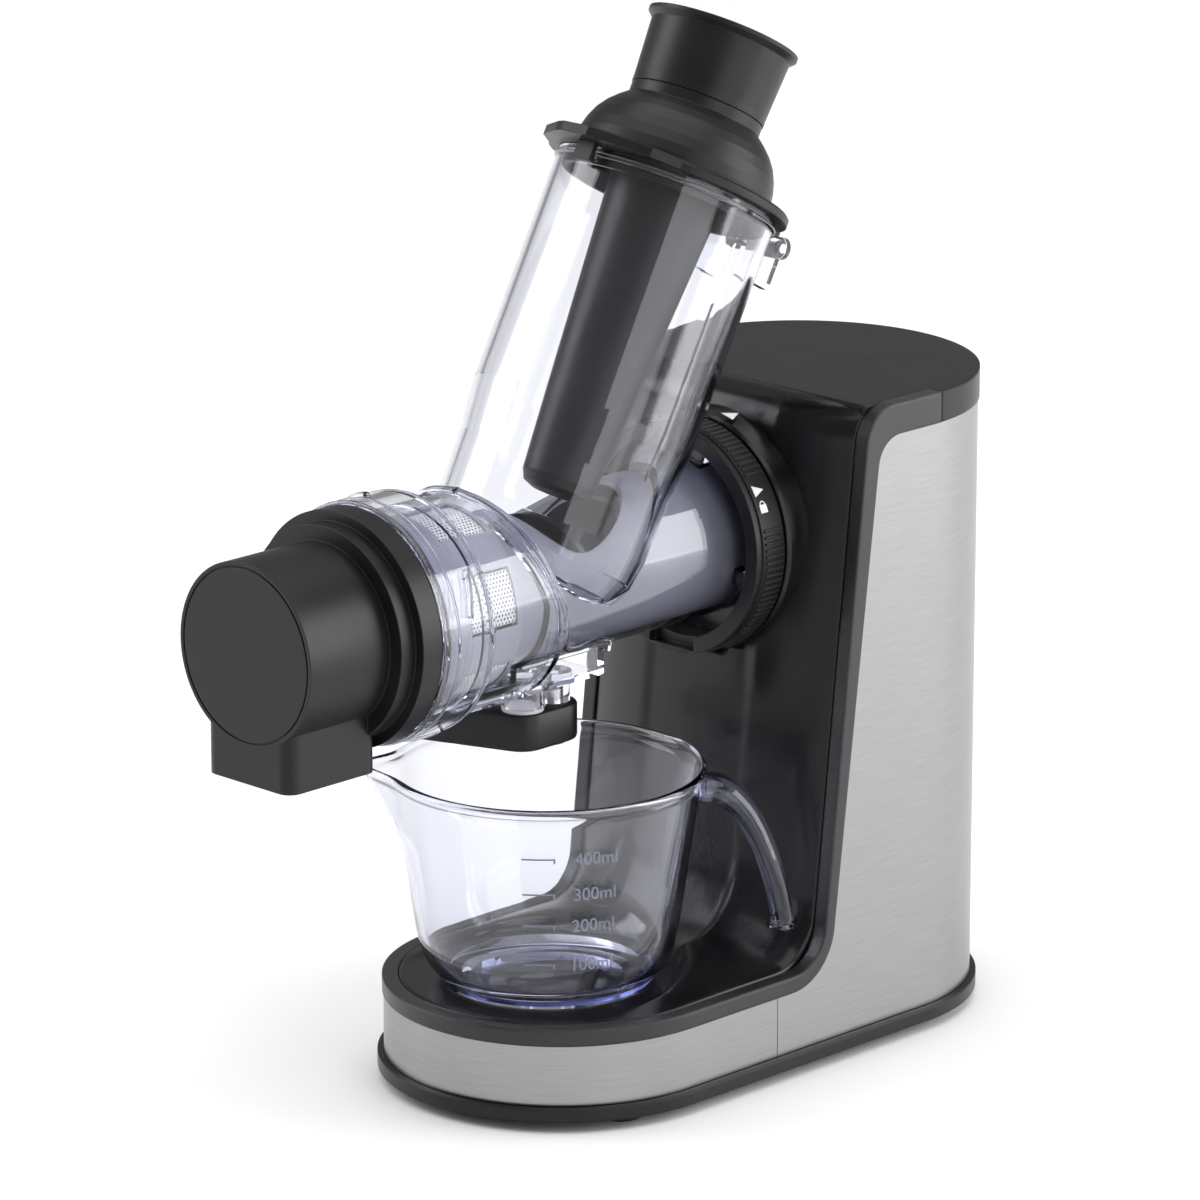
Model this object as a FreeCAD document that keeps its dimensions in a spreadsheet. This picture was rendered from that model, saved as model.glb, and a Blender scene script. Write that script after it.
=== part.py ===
import FreeCAD, Part
import math
import os
import re

import Sketcher
from FreeCAD import Placement, Rotation, Vector

# Horizontal slow juicer, in millimetres. The origin is the middle of the base on the table.
# +Z is up, -Y is the front (pulp outlet), +X is the right-hand side.

doc = FreeCAD.newDocument("juicer")
sheet = doc.addObject("Spreadsheet::Sheet", "Sizes")

SIZES = [
    # alias, value, meaning
    ("end_centre", 62, "distance from the middle to the centre of each rounded end of the base"),
    ("feet_high", 4, "height of the rubber feet"),
    ("feet_radius", 9, "radius of a rubber foot"),
    ("feet_across", 47, "half the distance between feet, across"),
    ("feet_front", -80, "front feet"),
    ("feet_rear", 68, "rear feet"),
    ("plate_radius", 66, "outer radius of the base plate's rounded ends"),
    ("plate_high", 5.2, "thickness of the base plate"),
    ("steel_radius", 63.7, "outside of the steel wrap"),
    ("steel_gauge", 0.8, "steel thickness"),
    ("steel_low", 9.4, "lower edge of the steel"),
    ("steel_foot_top", 31.5, "top edge of the steel round the foot"),
    ("steel_top", 228, "top edge of the steel on the tower"),
    ("seam", -16.7, "joint between the front band and the side wrap"),
    ("gap", 0.3, "clearance between pieces that only meet"),
    ("trim_radius", 64.2, "outside of the satin edge trim"),
    ("trim_inner", 58.5, "inside of the satin edge trim"),
    ("trim_foot_top", 37.6, "top of the trim round the foot"),
    ("tower_top", 239.5, "top of the tower"),
    ("trim_seam", 66, "joint between the edge trim and the top cover"),
    ("slope_trim", 0.11, "lean of the tower front, along the trim"),
    ("slope_steel", 0.125, "lean of the tower front, along the steel"),
    ("trim_foot_y", 6.3, "where the trim's tower line meets its foot line"),
    ("steel_foot_y", 9.9, "where the steel's tower line meets its foot line"),
    ("crown", 9.5, "how far the gloss panel bulges past the trim"),
    ("panel_deep", 12, "depth of the gloss panel, edge included"),
    ("panel_wall", 2.5, "wall of the gloss panel"),
    ("panel_radius", 58.2, "half width of the gloss panel"),
    ("chord", -102, "straight joint between the gloss panel and the jug tray"),
    ("tray_top", 37.6, "level on which the jug stands"),
    ("tray_thick", 2.5, "thickness of the jug tray"),
    ("well_radius", 46.5, "half width of the recess for the jug"),
    ("jug_y", -69, "centre of the jug"),
    ("shell_radius", 62.6, "outside of the inner housing"),
    ("shell_wall", 2.4, "wall of the inner housing"),
    ("axis_z", 187, "height of the drum axis"),
    ("neck_radius", 45, "root radius of the neck collar"),
    ("neck_nose", 43, "front radius of the neck collar"),
    ("neck_front", 8.8, "front face of the neck collar"),
    ("neck_back", 30, "back of the neck collar"),
    ("ring_radius", 42, "lock ring, outside"),
    ("ring_bore", 36.5, "lock ring, inside"),
    ("ring_front", -5.8, "front face of the lock ring"),
    ("ring_long", 14.3, "length of the lock ring"),
    ("throat_radius", 29.7, "narrow rear part of the drum, outside"),
    ("throat_bore", 27.7, "narrow rear part of the drum, inside"),
    ("throat_back", 8.5, "rear end of the drum"),
    ("jacket_radius", 37, "wide front part of the drum, outside"),
    ("jacket_bore", 34.8, "wide front part of the drum, inside"),
    ("jacket_front", -158, "front end of the drum"),
    ("jacket_back", -96, "rear end of the wide part"),
    ("collar_radius", 42.5, "clear collar at the front of the drum"),
    ("collar_bore", 40, "inside of the clear collar"),
    ("collar_front", -160, "front of the clear collar"),
    ("collar_long", 24, "length of the clear collar"),
    ("trough_low", 149.5, "underside of the juice trough"),
    ("trough_half", 13.4, "half width of the juice trough"),
    ("trough_back", -54, "rear end of the juice trough"),
    ("spout_y", -81, "juice spout"),
    ("spout_radius", 8, "outside of the juice spout"),
    ("spout_bore", 6, "bore of the juice spout"),
    ("spout_low", 141, "lower end of the juice spout"),
    ("tube_foot_y", -81.1, "where the feed tube's axis crosses the drum axis"),
    ("tube_lean", 29.3, "lean of the feed tube, degrees"),
    ("tube_radius", 40.5, "feed tube, outside"),
    ("tube_wall", 2.4, "feed tube wall"),
    ("tube_top", 148, "top of the feed tube, along its axis"),
    ("lid_radius", 44.5, "lid plate"),
    ("lid_low", 148.3, "underside of the lid plate, along the tube axis"),
    ("lid_thick", 3.5, "lid plate thickness"),
    ("dome_radius", 36.5, "foot of the dome"),
    ("dome_top", 176, "top of the dome"),
    ("lid_neck_radius", 24.3, "lid neck, outside"),
    ("lid_neck_bore", 21.8, "lid neck, inside"),
    ("lid_neck_top", 179, "top of the lid neck"),
    ("hinge_out", 54, "lid hinge pin, distance behind the tube axis"),
    ("hinge_up", 146, "lid hinge pin, along the tube axis"),
    ("hinge_pin_radius", 1.8, "lid hinge pin"),
    ("pusher_tip", 32, "lower end of the pusher, along the tube axis"),
    ("pusher_tip_radius", 13.4, "lower end of the pusher"),
    ("pusher_top_radius", 21.2, "pusher shaft at the lid"),
    ("cup_radius", 24.6, "pusher cup at its foot"),
    ("cup_mouth", 25.8, "pusher cup under its rim"),
    ("cup_rim", 27.8, "flared rim of the pusher cup"),
    ("cup_top", 206.4, "top of the pusher cup"),
    ("basket_radius", 27.4, "strainer sleeve, outside"),
    ("basket_bore", 25.8, "strainer sleeve, inside"),
    ("sieve_radius", 33, "sieve section, outside"),
    ("sieve_bore", 31.4, "sieve section, inside"),
    ("sieve_back", -115, "rear end of the sieve section"),
    ("window_front", -140, "front edge of the mesh windows"),
    ("window_long", 23, "length of the mesh windows"),
    ("window_half", 10, "half height of a mesh window"),
    ("screw_radius", 25.2, "flight radius of the pressing screw"),
    ("screw_waist", 22.5, "flight radius under the feed tube, clear of the pusher"),
    ("screw_root_back", 13, "root radius of the screw at the back"),
    ("screw_root_front", 21.5, "root radius of the screw at the front"),
    ("screw_pitch", 30, "pitch of the flight"),
    ("hub_radius", 9.8, "rear hub of the screw"),
    ("hex_flats", 12, "hexagon of the drive shaft, across flats"),
    ("journal_radius", 6, "front journal of the screw"),
    ("cap_radius", 32.5, "pulp cap, outside"),
    ("cap_wall", 2.4, "wall of the pulp cap"),
    ("cap_front", -212.6, "front face of the pulp cap"),
    ("cap_step_radius", 38, "step behind the cap's barrel"),
    ("cap_step_front", -176, "front of the step"),
    ("cap_flange_radius", 41.8, "flange of the cap"),
    ("cap_flange_front", -169.3, "front of the flange"),
    ("cap_flange_back", -160.3, "back of the flange"),
    ("chute_half", 21, "half width of the pulp chute"),
    ("chute_low", 141.5, "mouth of the pulp chute"),
    ("chute_back", -171, "rear wall of the pulp chute"),
    ("lever_y", -66, "pivot of the drip lever"),
    ("lever_low", 126, "underside of the drip lever"),
    ("lever_high", 13.5, "height of the drip lever"),
    ("lever_tip_x", -41.5, "tip of the drip lever"),
    ("lever_tip_y", -97, "tip of the drip lever"),
    ("jug_rim_z", 116.4, "rim of the jug"),
    ("jug_rim_radius", 56.6, "rim of the jug"),
    ("jug_foot_radius", 38.3, "foot ring of the jug"),
    ("jug_wall", 2.2, "wall of the jug"),
    ("jug_turn", 44, "turn of the jug's spout from the front towards the left, degrees"),
    ("spout_reach", 50, "centre of the jug's spout"),
    ("handle_wide", 11, "width of the jug handle"),
    ("gear_module", 1.25, "module of the slow gear pair"),
    ("gear_teeth", 48, "teeth of the output gear"),
    ("pinion_teeth", 14, "teeth of the idler pinion"),
    ("fast_module", 1, "module of the fast gear pair"),
    ("idler_teeth", 44, "teeth of the idler gear"),
    ("rotor_teeth", 12, "teeth of the motor pinion"),
    ("case_front", 38.4, "front of the gearbox"),
    ("case_back", 61, "joint between gearbox case and cover"),
    ("case_wall", 3, "gearbox wall"),
    ("shaft_radius", 8, "output shaft"),
    ("idler_pin_radius", 4, "idler pin"),
    ("rotor_shaft_radius", 3, "motor shaft"),
    ("can_radius", 33, "motor can, outside"),
    ("can_front", 64, "front of the motor can"),
    ("can_back", 108, "rear of the motor can"),
    ("inlet_z", 22, "height of the cord inlet"),
    ("switch_y", 62, "middle of the power switch"),
    ("switch_z", 74, "height of the power switch"),
    ("cover_start", 31.4, "front edge of the top cover"),
]
for row, (alias, value, meaning) in enumerate(SIZES, start=1):
    sheet.set(f"A{row}", alias)
    sheet.set(f"B{row}", str(value))
    sheet.set(f"C{row}", meaning)
    sheet.setAlias(f"B{row}", alias)
doc.recompute()

ALIASES = {alias for alias, _, _ in SIZES}
SIZE = {alias: value for alias, value, _ in SIZES}
NODES = []


def linked(text):
    """An expression with every alias pointing at its cell."""
    return re.sub(r"[a-z][a-z_]+", lambda word: f"Sizes.{word.group()}" if word.group() in ALIASES
                  else word.group(), str(text))


def amount(text):
    """The number that an expression stands for at the sheet's present sizes."""
    found = sheet.evalExpression(linked(text))
    return float(getattr(found, "Value", found))


def bind(item, **fields):
    """Ties an object's properties to expressions in the sheet's sizes."""
    for field, text in fields.items():
        item.setExpression(field, linked(text))


# Frames: where a piece that is drawn about its own Z axis is put.
UPRIGHT = Rotation()
DRUM = Rotation(Vector(1, 0, 0), -90)                    # local Z runs to the rear, along +Y
SIDE = Rotation(Vector(0, 1, 0), 90)                     # local Z runs to the right, along +X
TUBE = Rotation(Vector(1, 0, 0), -SIZE["tube_lean"])     # local Z runs up the leaning feed tube
DRUM_PLACE = ("0", "0", "axis_z")
TUBE_PLACE = ("0", "tube_foot_y", "axis_z")


def place(item, at, turn=UPRIGHT):
    item.Placement = Placement(Vector(*[amount(text) for text in at]), turn)
    for axis, text in zip("xyz", at):
        item.setExpression(f"Placement.Base.{axis}", linked(text))
    return item


def box(name, low, size):
    item = doc.addObject("Part::Box", name)
    bind(item, Length=size[0], Width=size[1], Height=size[2])
    return place(item, low)


def cylinder(name, radius, length, at, turn=UPRIGHT):
    item = doc.addObject("Part::Cylinder", name)
    bind(item, Radius=radius, Height=length)
    return place(item, at, turn)


def rod(name, radius, start, length, x="0", z="axis_z"):
    """A cylinder along +Y from the plane y = start."""
    return cylinder(name, radius, length, (x, start, z), DRUM)


def cone(name, radius_low, radius_high, length, at, turn=UPRIGHT):
    item = doc.addObject("Part::Cone", name)
    bind(item, Radius1=radius_low, Radius2=radius_high, Height=length)
    return place(item, at, turn)


def fuse(name, *items, tidy_seams=True):
    joined = doc.addObject("Part::MultiFuse", name)
    joined.Shapes = list(items)
    joined.Refine = tidy_seams
    return joined


def cut(name, base, *tools):
    made = doc.addObject("Part::Cut", name)
    made.Base = base
    made.Tool = tools[0] if len(tools) == 1 else fuse(f"{name}_tools", *tools)
    return made


def common(name, *items):
    made = doc.addObject("Part::MultiCommon", name)
    made.Shapes = list(items)
    return made


def node(item, label):
    """Marks an object as one sub-part of the juicer."""
    item.Label = label
    NODES.append(item)
    return item


def stadium(name, radius, low, high):
    """The base's outline, a rectangle with two round ends, between two levels."""
    middle = box(f"{name}_middle", (f"-({radius})", "-end_centre", low),
                 (f"2 * ({radius})", "2 * end_centre", f"({high}) - ({low})"))
    ends = [cylinder(f"{name}_{end}", radius, f"({high}) - ({low})", ("0", y, low))
            for end, y in (("front", "-end_centre"), ("rear", "end_centre"))]
    return fuse(name, middle, *ends)


def outline(body, name, role, points):
    """A closed outline in one of the body's own planes, with each corner bound to the sheet."""
    plane = next(item for item in body.Origin.OriginFeatures if item.Role == role)
    sketch = body.newObject("Sketcher::SketchObject", name)
    sketch.AttachmentSupport = [(plane, "")]
    sketch.MapMode = "FlatFace"
    spots = [Vector(amount(u), amount(v), 0) for u, v in points]
    count = len(spots)
    for index in range(count):
        sketch.addGeometry(Part.LineSegment(spots[index], spots[(index + 1) % count]), False)
    for index in range(count):
        sketch.addConstraint(Sketcher.Constraint("Coincident", index, 2, (index + 1) % count, 1))
    for index, corner in enumerate(points):
        for kind, text, axis in (("DistanceX", corner[0], -2), ("DistanceY", corner[1], -1)):
            size = amount(text)
            if abs(size) < 1e-9:
                sketch.addConstraint(Sketcher.Constraint("PointOnObject", index, 1, axis))
                continue
            ends = (-1, 1, index, 1) if size > 0 else (index, 1, -1, 1)
            number = sketch.addConstraint(Sketcher.Constraint(kind, *ends, abs(size)))
            label = f"{kind}{index}"
            sketch.renameConstraint(number, label)
            sign = "" if size > 0 else "-"
            sketch.setExpression(f"Constraints.{label}", f"{sign}({linked(text)})")
    return sketch


def turned(name, points, at=("0", "0", "0"), turn=UPRIGHT):
    """A body of revolution about its own Z axis: points are (radius, height)."""
    body = doc.addObject("PartDesign::Body", name)
    sketch = outline(body, f"{name}_outline", "XZ_Plane", points)
    spin = body.newObject("PartDesign::Revolution", f"{name}_spin")
    spin.Profile = sketch
    spin.ReferenceAxis = (sketch, ["V_Axis"])
    spin.Angle = 360
    body.Tip = spin
    return place(body, at, turn)


def slab(name, points, half_width, rounds=()):
    """A side profile in (y, z), as wide as twice half_width, with chosen corners rounded."""
    body = doc.addObject("PartDesign::Body", name)
    sketch = outline(body, f"{name}_outline", "YZ_Plane", points)
    pad = body.newObject("PartDesign::Pad", f"{name}_pad")
    pad.Profile = sketch
    pad.Midplane = True
    bind(pad, Length=f"2 * ({half_width})")
    body.Tip = pad
    doc.recompute()
    for number, (corner, radius) in enumerate(rounds):
        spot = [amount(text) for text in points[corner]]
        edges = [f"Edge{index}" for index, edge in enumerate(body.Shape.Edges, start=1)
                 if abs(edge.CenterOfMass.x) < 0.01
                 and math.hypot(edge.CenterOfMass.y - spot[0], edge.CenterOfMass.z - spot[1]) < 0.01]
        earlier = body.Tip
        rounding = body.newObject("PartDesign::Fillet", f"{name}_round{number}")
        rounding.Base = (earlier, edges)
        rounding.Radius = radius
        body.Tip = rounding
        doc.recompute()
    return body


def padded(name, points, low, high):
    """A plan outline in (x, y), between two levels."""
    body = doc.addObject("PartDesign::Body", name)
    sketch = outline(body, f"{name}_outline", "XY_Plane", points)
    pad = body.newObject("PartDesign::Pad", f"{name}_pad")
    pad.Profile = sketch
    bind(pad, Length=f"({high}) - ({low})")
    body.Tip = pad
    return place(body, ("0", "0", low))


def featured(name, shape):
    """A piece whose shape has to be worked out point by point."""
    item = doc.addObject("Part::Feature", name)
    item.Shape = shape
    return item


# ---------------------------------------------------------------- base and tower

def front_line(y_at_foot, z_foot, slope, z):
    """The tower's leaning front line, as an expression for y at height z."""
    return f"{y_at_foot} + (({z}) - ({z_foot})) * {slope}"


def base_plate():
    plate = stadium("plate_outline", "plate_radius", "feet_high", "feet_high + plate_high")
    lip = stadium("plate_lip", "shell_radius - shell_wall - gap", "feet_high + plate_high - 1",
                  "feet_high + plate_high + 3")
    lip_hollow = stadium("plate_hollow", "shell_radius - shell_wall - gap - 2", "feet_high + 2.2",
                         "feet_high + plate_high + 4")
    holes = []
    for number, (x, y) in enumerate(FEET):
        holes.append(cylinder(f"stem_hole{number}", 3.2, 10, (x, y, "feet_high - 1")))
    for number, (x, y) in enumerate(SCREWS):
        holes.append(cylinder(f"screw_hole{number}", 1.9, 10, (x, y, "feet_high - 1")))
    for number in range(7):
        holes.append(box(f"vent{number}", ("-18", f"{number * 6 + 16}", "feet_high - 1"), (36, 3, 6)))
    node(cut("base_plate", fuse("plate_body", plate, lip), lip_hollow, *holes), "base_plate")


FEET = [(f"{side} * feet_across", y) for y in ("feet_front", "feet_rear") for side in (-1, 1)]
FEET.append(("0", "0"))
SCREWS = [(f"{side} * 40", y) for y in ("-50", "98") for side in (-1, 1)]


def rubber_feet():
    pads = []
    for number, (x, y) in enumerate(FEET):
        pad = cone(f"pad{number}", "feet_radius - 1", "feet_radius", "feet_high - 0.1", (x, y, 0))
        stem = cylinder(f"stem{number}", 3, 6, (x, y, 1))
        pads.append(fuse(f"foot{number}", pad, stem))
    feet = doc.addObject("Part::Compound", "rubber_feet")
    feet.Links = pads
    node(feet, "rubber_feet")


def base_screws():
    screws = []
    for number, (x, y) in enumerate(SCREWS):
        head = cylinder(f"head{number}", 3, 1.6, (x, y, "feet_high - 1.7"))
        shank = cylinder(f"shank{number}", 1.8, 16, (x, y, "feet_high - 1"))
        slot = box(f"slot{number}", (f"{x} - 2.4", f"{y} - 0.4", "feet_high - 1.8"), (4.8, 0.8, 0.8))
        screws.append(cut(f"screw{number}", fuse(f"screw_body{number}", head, shank), slot))
    group = doc.addObject("Part::Compound", "base_screws")
    group.Links = screws
    node(group, "base_screws")


def steel_region(name, inset=0):
    """Everything behind the steel's edge line, moved inwards by inset."""
    foot = f"steel_foot_top - {inset}"
    start = f"steel_foot_y + {inset}"
    top = f"steel_top - {inset}"
    return slab(name, [("-140", "0"), ("-140", foot), (start, foot),
                       (front_line(start, foot, "slope_steel", top), top), ("140", top), ("140", "0")],
                "80", rounds=[(2, 22 + inset), (3, max(11 - inset, 4))])


def trim_region(name):
    """Everything behind the trim's edge line."""
    return slab(name, [("-140", "0"), ("-140", "trim_foot_top"), ("trim_foot_y", "trim_foot_top"),
                       (front_line("trim_foot_y", "trim_foot_top", "slope_trim", "tower_top"), "tower_top"),
                       ("140", "tower_top"), ("140", "0")],
                "80", rounds=[(2, 16), (3, 14)])


def steel_and_housing():
    inlet_hole = rod("inlet_hole", 6, "end_centre", 80, z="inlet_z")
    switch_hole = box("switch_hole", ("-80", "switch_y - 15", "switch_z - 11"), (40, 30, 22))

    sheet_outer = stadium("sheet_outer", "steel_radius", "steel_low", "steel_top")
    sheet_inner = stadium("sheet_inner", "steel_radius - steel_gauge", "0", "tower_top")
    sheet_ring = cut("sheet_ring", sheet_outer, sheet_inner)
    wrapped = common("wrapped", sheet_ring, steel_region("steel_edge"))
    rear_half = box("rear_half", ("-90", "seam + gap / 2", "0"), (180, 200, 260))
    front_half = box("front_half", ("-90", "seam - gap / 2 - 200", "0"), (180, 200, 260))
    rear_wrap = common("rear_wrap", wrapped, rear_half)
    node(cut("steel_side_wrap", rear_wrap, inlet_hole, switch_hole), "steel_side_wrap")
    node(common("steel_front_band", wrapped, front_half), "steel_front_band")

    shell_outer = common("shell_outer", stadium("shell_plan", "shell_radius", "steel_low", "steel_top"),
                         steel_region("shell_edge", 0.3))
    shell_inner = common("shell_inner", stadium("core_plan", "shell_radius - shell_wall", "0", "steel_top"),
                         steel_region("core_edge", 2.7))
    neck_hole = rod("shell_neck_hole", "neck_radius + gap", "0", "case_front")
    shell = cut("shell_open", shell_outer, shell_inner, neck_hole, inlet_hole, switch_hole)
    bosses = []
    for number, (x, y) in enumerate(SCREWS):
        boss = cylinder(f"boss{number}", 5, "15", (x, y, "13"))
        bosses.append(cut(f"boss_bored{number}", boss,
                          cylinder(f"boss_bore{number}", 1.85, 30, (x, y, "5"))))
    rib = box("boss_rib", ("-shell_radius + 1", "96.5", "20"), ("2 * shell_radius - 2", "3", "8"))
    rib_clipped = common("rib_clipped", rib, stadium("rib_plan", "shell_radius - 1", "0", "60"))
    front_rib = box("front_rib", ("-shell_radius + 1", "-51.5", "20"), ("2 * shell_radius - 2", "3", "8"))
    rail_pair = [box(f"rail_y{y}", ("-60.5", y, "26"), ("121", "4", "7.7")) for y in ("72", "104")]
    rails = common("board_rails", fuse("rail_pair", *rail_pair),
                   stadium("rail_plan", "shell_radius - 1", "0", "60"))
    bores = [cylinder(f"rib_bore{number}", 1.85, 40, (x, y, "5")) for number, (x, y) in enumerate(SCREWS)]
    node(cut("inner_housing", fuse("shell_fused", shell, rib_clipped, front_rib, rails, *bosses), *bores),
         "inner_housing")


def edge_trim():
    ring = cut("trim_ring", stadium("trim_plan", "trim_radius", "steel_foot_top", "tower_top"),
               stadium("trim_hole", "trim_inner", "0", "tower_top + 5"))
    band = cut("trim_band", common("trim_kept", ring, trim_region("trim_edge")),
               steel_region("trim_lower", -0.1))
    node(cut("edge_trim", band, box("trim_rear", ("-90", "trim_seam", "0"), (180, 120, 300))), "edge_trim")


def top_cover():
    rear = common("cover_rear", stadium("cover_plan", "trim_radius", "steel_top + gap", "tower_top"),
                  box("cover_rear_box", ("-90", "trim_seam + gap", "0"), (180, 120, 300)))
    front = common("cover_front", stadium("cover_inner", "panel_radius", "tower_top - 3.5", "tower_top"),
                   box("cover_front_box", ("-90", "cover_start", "0"), (180, 60, 300)))
    hollow = common("cover_hollow", stadium("cover_core", "shell_radius - 1", "0", "tower_top - 3.5"),
                    box("cover_core_box", ("-90", "0", "0"), (180, 200, 300)))
    node(cut("top_cover", fuse("cover_body", rear, front), hollow), "top_cover")


def panel_slab(name, inset):
    """The bulging L-shaped body of the gloss panel, moved inwards by inset."""
    foot_crown = f"trim_foot_top + crown - {inset}"
    foot_back = "tray_top - tray_thick"
    front = f"trim_foot_y - crown + {inset}"
    back = "trim_foot_y - crown + panel_deep"
    top = f"tower_top - {inset}"
    body = slab(name, [(f"chord + {inset}", f"{foot_back} - {inset}"), (f"chord + {inset}", foot_crown),
                       (front_line(front, foot_crown, "slope_trim", foot_crown), foot_crown),
                       (front_line(front, foot_crown, "slope_trim", top), top),
                       (f"{front_line(back, foot_crown, 'slope_trim', top)} + {inset}", top),
                       (f"{back} + {inset}", f"{foot_back} - {inset}")],
                "70", rounds=[(2, 8 + inset), (3, 12 - inset)] + ([] if inset else [(5, 24)]))
    clipped = common(f"{name}_clipped", body,
                     stadium(f"{name}_plan", f"panel_radius - {inset}", "0", "tower_top"))
    doc.recompute()
    width = SIZE["panel_radius"] - inset
    radius = SIZE["crown"] - inset
    chosen = []
    for index, edge in enumerate(clipped.Shape.Edges, start=1):
        spots = [edge.valueAt(edge.FirstParameter + part * (edge.LastParameter - edge.FirstParameter))
                 for part in (0.1, 0.5, 0.9)]
        on_rim = all(abs(rim_distance(spot, width)) < 0.05 for spot in spots)
        behind = amount(front_line(back, foot_crown, "slope_trim", "axis_z")) - amount(
            front_line(front, foot_crown, "slope_trim", "axis_z"))
        outward = all(depth_of(spot, inset) < behind / 3 for spot in spots)
        level = all(abs(spot.y - spots[0].y) < 0.02 for spot in spots)
        upright_end = level and abs(spots[0].y - amount(f"chord + {inset}")) < 0.05
        if on_rim and outward and not upright_end:
            chosen.append((index, radius, radius))
    rounded = doc.addObject("Part::Fillet", f"{name}_rounded")
    rounded.Base = clipped
    rounded.Edges = chosen
    return rounded


def rim_distance(spot, width):
    """How far a point is from the side wall of a stadium of this half width."""
    beyond = max(abs(spot.y) - SIZE["end_centre"], 0)
    return math.hypot(spot.x, beyond) - width


def depth_of(spot, inset):
    """How far a point is behind the panel's crown, along the L-shaped run."""
    foot = amount(f"trim_foot_top + crown - {inset}") - spot.z
    tower = spot.y - amount(front_line(f"trim_foot_y - crown + {inset}", "trim_foot_top + crown",
                                       "slope_trim", str(round(spot.z, 4))))
    return min(abs(foot), abs(tower), abs(SIZE["tower_top"] - inset - spot.z))


def recess(name, half_width, low):
    """The jug's recess: round at the back and open to the front."""
    back = cylinder(f"{name}_back", half_width, 60, ("0", "jug_y", low))
    front = box(f"{name}_front", (f"-({half_width})", "-140", low),
                (f"2 * ({half_width})", "140 + jug_y", 60))
    return fuse(name, back, front)


def front_panel():
    outer = panel_slab("panel_outer", 0)
    inner = panel_slab("panel_inner", SIZE["panel_wall"])
    well_wall = common("well_wall", outer, recess("well_outer", "well_radius + panel_wall", "0"))
    shell = cut("panel_shell", outer, inner)
    well = recess("well", "well_radius", "tray_top")
    neck = rod("panel_neck_hole", "neck_radius + gap", "-30", 90)
    node(cut("front_panel", fuse("panel_joined", shell, well_wall), well, neck), "front_panel")


def jug_tray():
    plate = stadium("tray_plan", "panel_radius", "tray_top - tray_thick", "tray_top")
    keep = box("tray_keep", ("-90", "-140", "0"), ("180", "140 + chord - gap", "100"))
    node(common("jug_tray", plate, keep), "jug_tray")


def neck_collar():
    node(turned("neck_collar", [
        ("shaft_radius + 6", "neck_front"), ("neck_nose", "neck_front"),
        ("neck_nose + 0.6", "neck_front + 1.5"),
        ("neck_radius", "neck_back - 6"), ("neck_radius", "neck_back"), ("neck_radius - 3", "neck_back"),
        ("neck_nose - 4", "neck_front + 4"), ("shaft_radius + 6", "neck_front + 4")],
        DRUM_PLACE, DRUM), "neck_collar")


def lock_ring():
    blank = rod("ring_blank", "ring_radius", "ring_front", "ring_long")
    bore = rod("ring_hole", "ring_bore", "ring_front - 1", "ring_long + 2")
    groove_outer = rod("ring_groove_outer", "ring_radius + 1", "ring_front + 2.4", "1")
    groove_inner = rod("ring_groove_inner", "ring_radius - 0.7", "ring_front", "ring_long")
    groove = cut("ring_groove", groove_outer, groove_inner)
    notch = box("ring_notch", ("-11", "ring_front - 1", "axis_z - ring_radius + 2"), ("22", "5", "8"))
    node(cut("lock_ring", blank, bore, groove, notch), "lock_ring")


def cord_inlet():
    flange = rod("inlet_flange", 8.5, "end_centre + steel_radius + 0.05", "2", z="inlet_z")
    stem = rod("inlet_stem", 5.8, "end_centre + 52", "16", z="inlet_z")
    bore = rod("inlet_bore", 3.6, "end_centre + 40", "60", z="inlet_z")
    node(cut("cord_inlet", fuse("inlet_body", flange, stem), bore), "cord_inlet")


def power_switch():
    bezel = box("bezel", ("-steel_radius - 1.4", "switch_y - 17", "switch_z - 13"), (1.4, 34, 26))
    barrel = box("switch_barrel", ("-steel_radius - 1.4", "switch_y - 14.7", "switch_z - 10.7"),
                 (18, 29.4, 21.4))
    mouth = box("switch_mouth", ("-steel_radius - 2", "switch_y - 12.5", "switch_z - 8.5"), (10, 25, 17))
    node(cut("switch_frame", fuse("switch_body", bezel, barrel), mouth), "switch_frame")
    rocker = cylinder("rocker_barrel", 12, "15", ("-steel_radius + 9.2", "switch_y", "switch_z - 7.5"))
    trimmed = box("rocker_box", ("-steel_radius - 2.8", "switch_y - 11.6", "switch_z - 7.5"),
                  (7.2, 23.2, 15))
    node(common("power_rocker", rocker, trimmed), "power_rocker")


def electronics():
    board = box("board", ("-34", "70", "34"), (68, 40, 1.6))
    parts = [box("choke", ("-30", "74", "35.6"), (18, 16, 14)),
             box("relay", ("-6", "76", "35.6"), (16, 12, 12)),
             cylinder("capacitor", 7, 22, ("24", "84", "35.6")),
             box("terminal", ("-30", "96", "35.6"), (24, 9, 10))]
    node(fuse("circuit_board", board, *parts), "circuit_board")
    node(fuse("interlock_switch", box("reed_body", ("-46", "39", "205"), (10, 14, 8)),
              box("reed_tail", ("-44.5", "42", "201"), (7, 8, 5))), "interlock_switch")


# ---------------------------------------------------------------- gearbox and motor

IDLER_Z = "axis_z - gear_module * (gear_teeth + pinion_teeth) / 2"
ROTOR_Z = f"{IDLER_Z} - fast_module * (idler_teeth + rotor_teeth) / 2"


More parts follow.
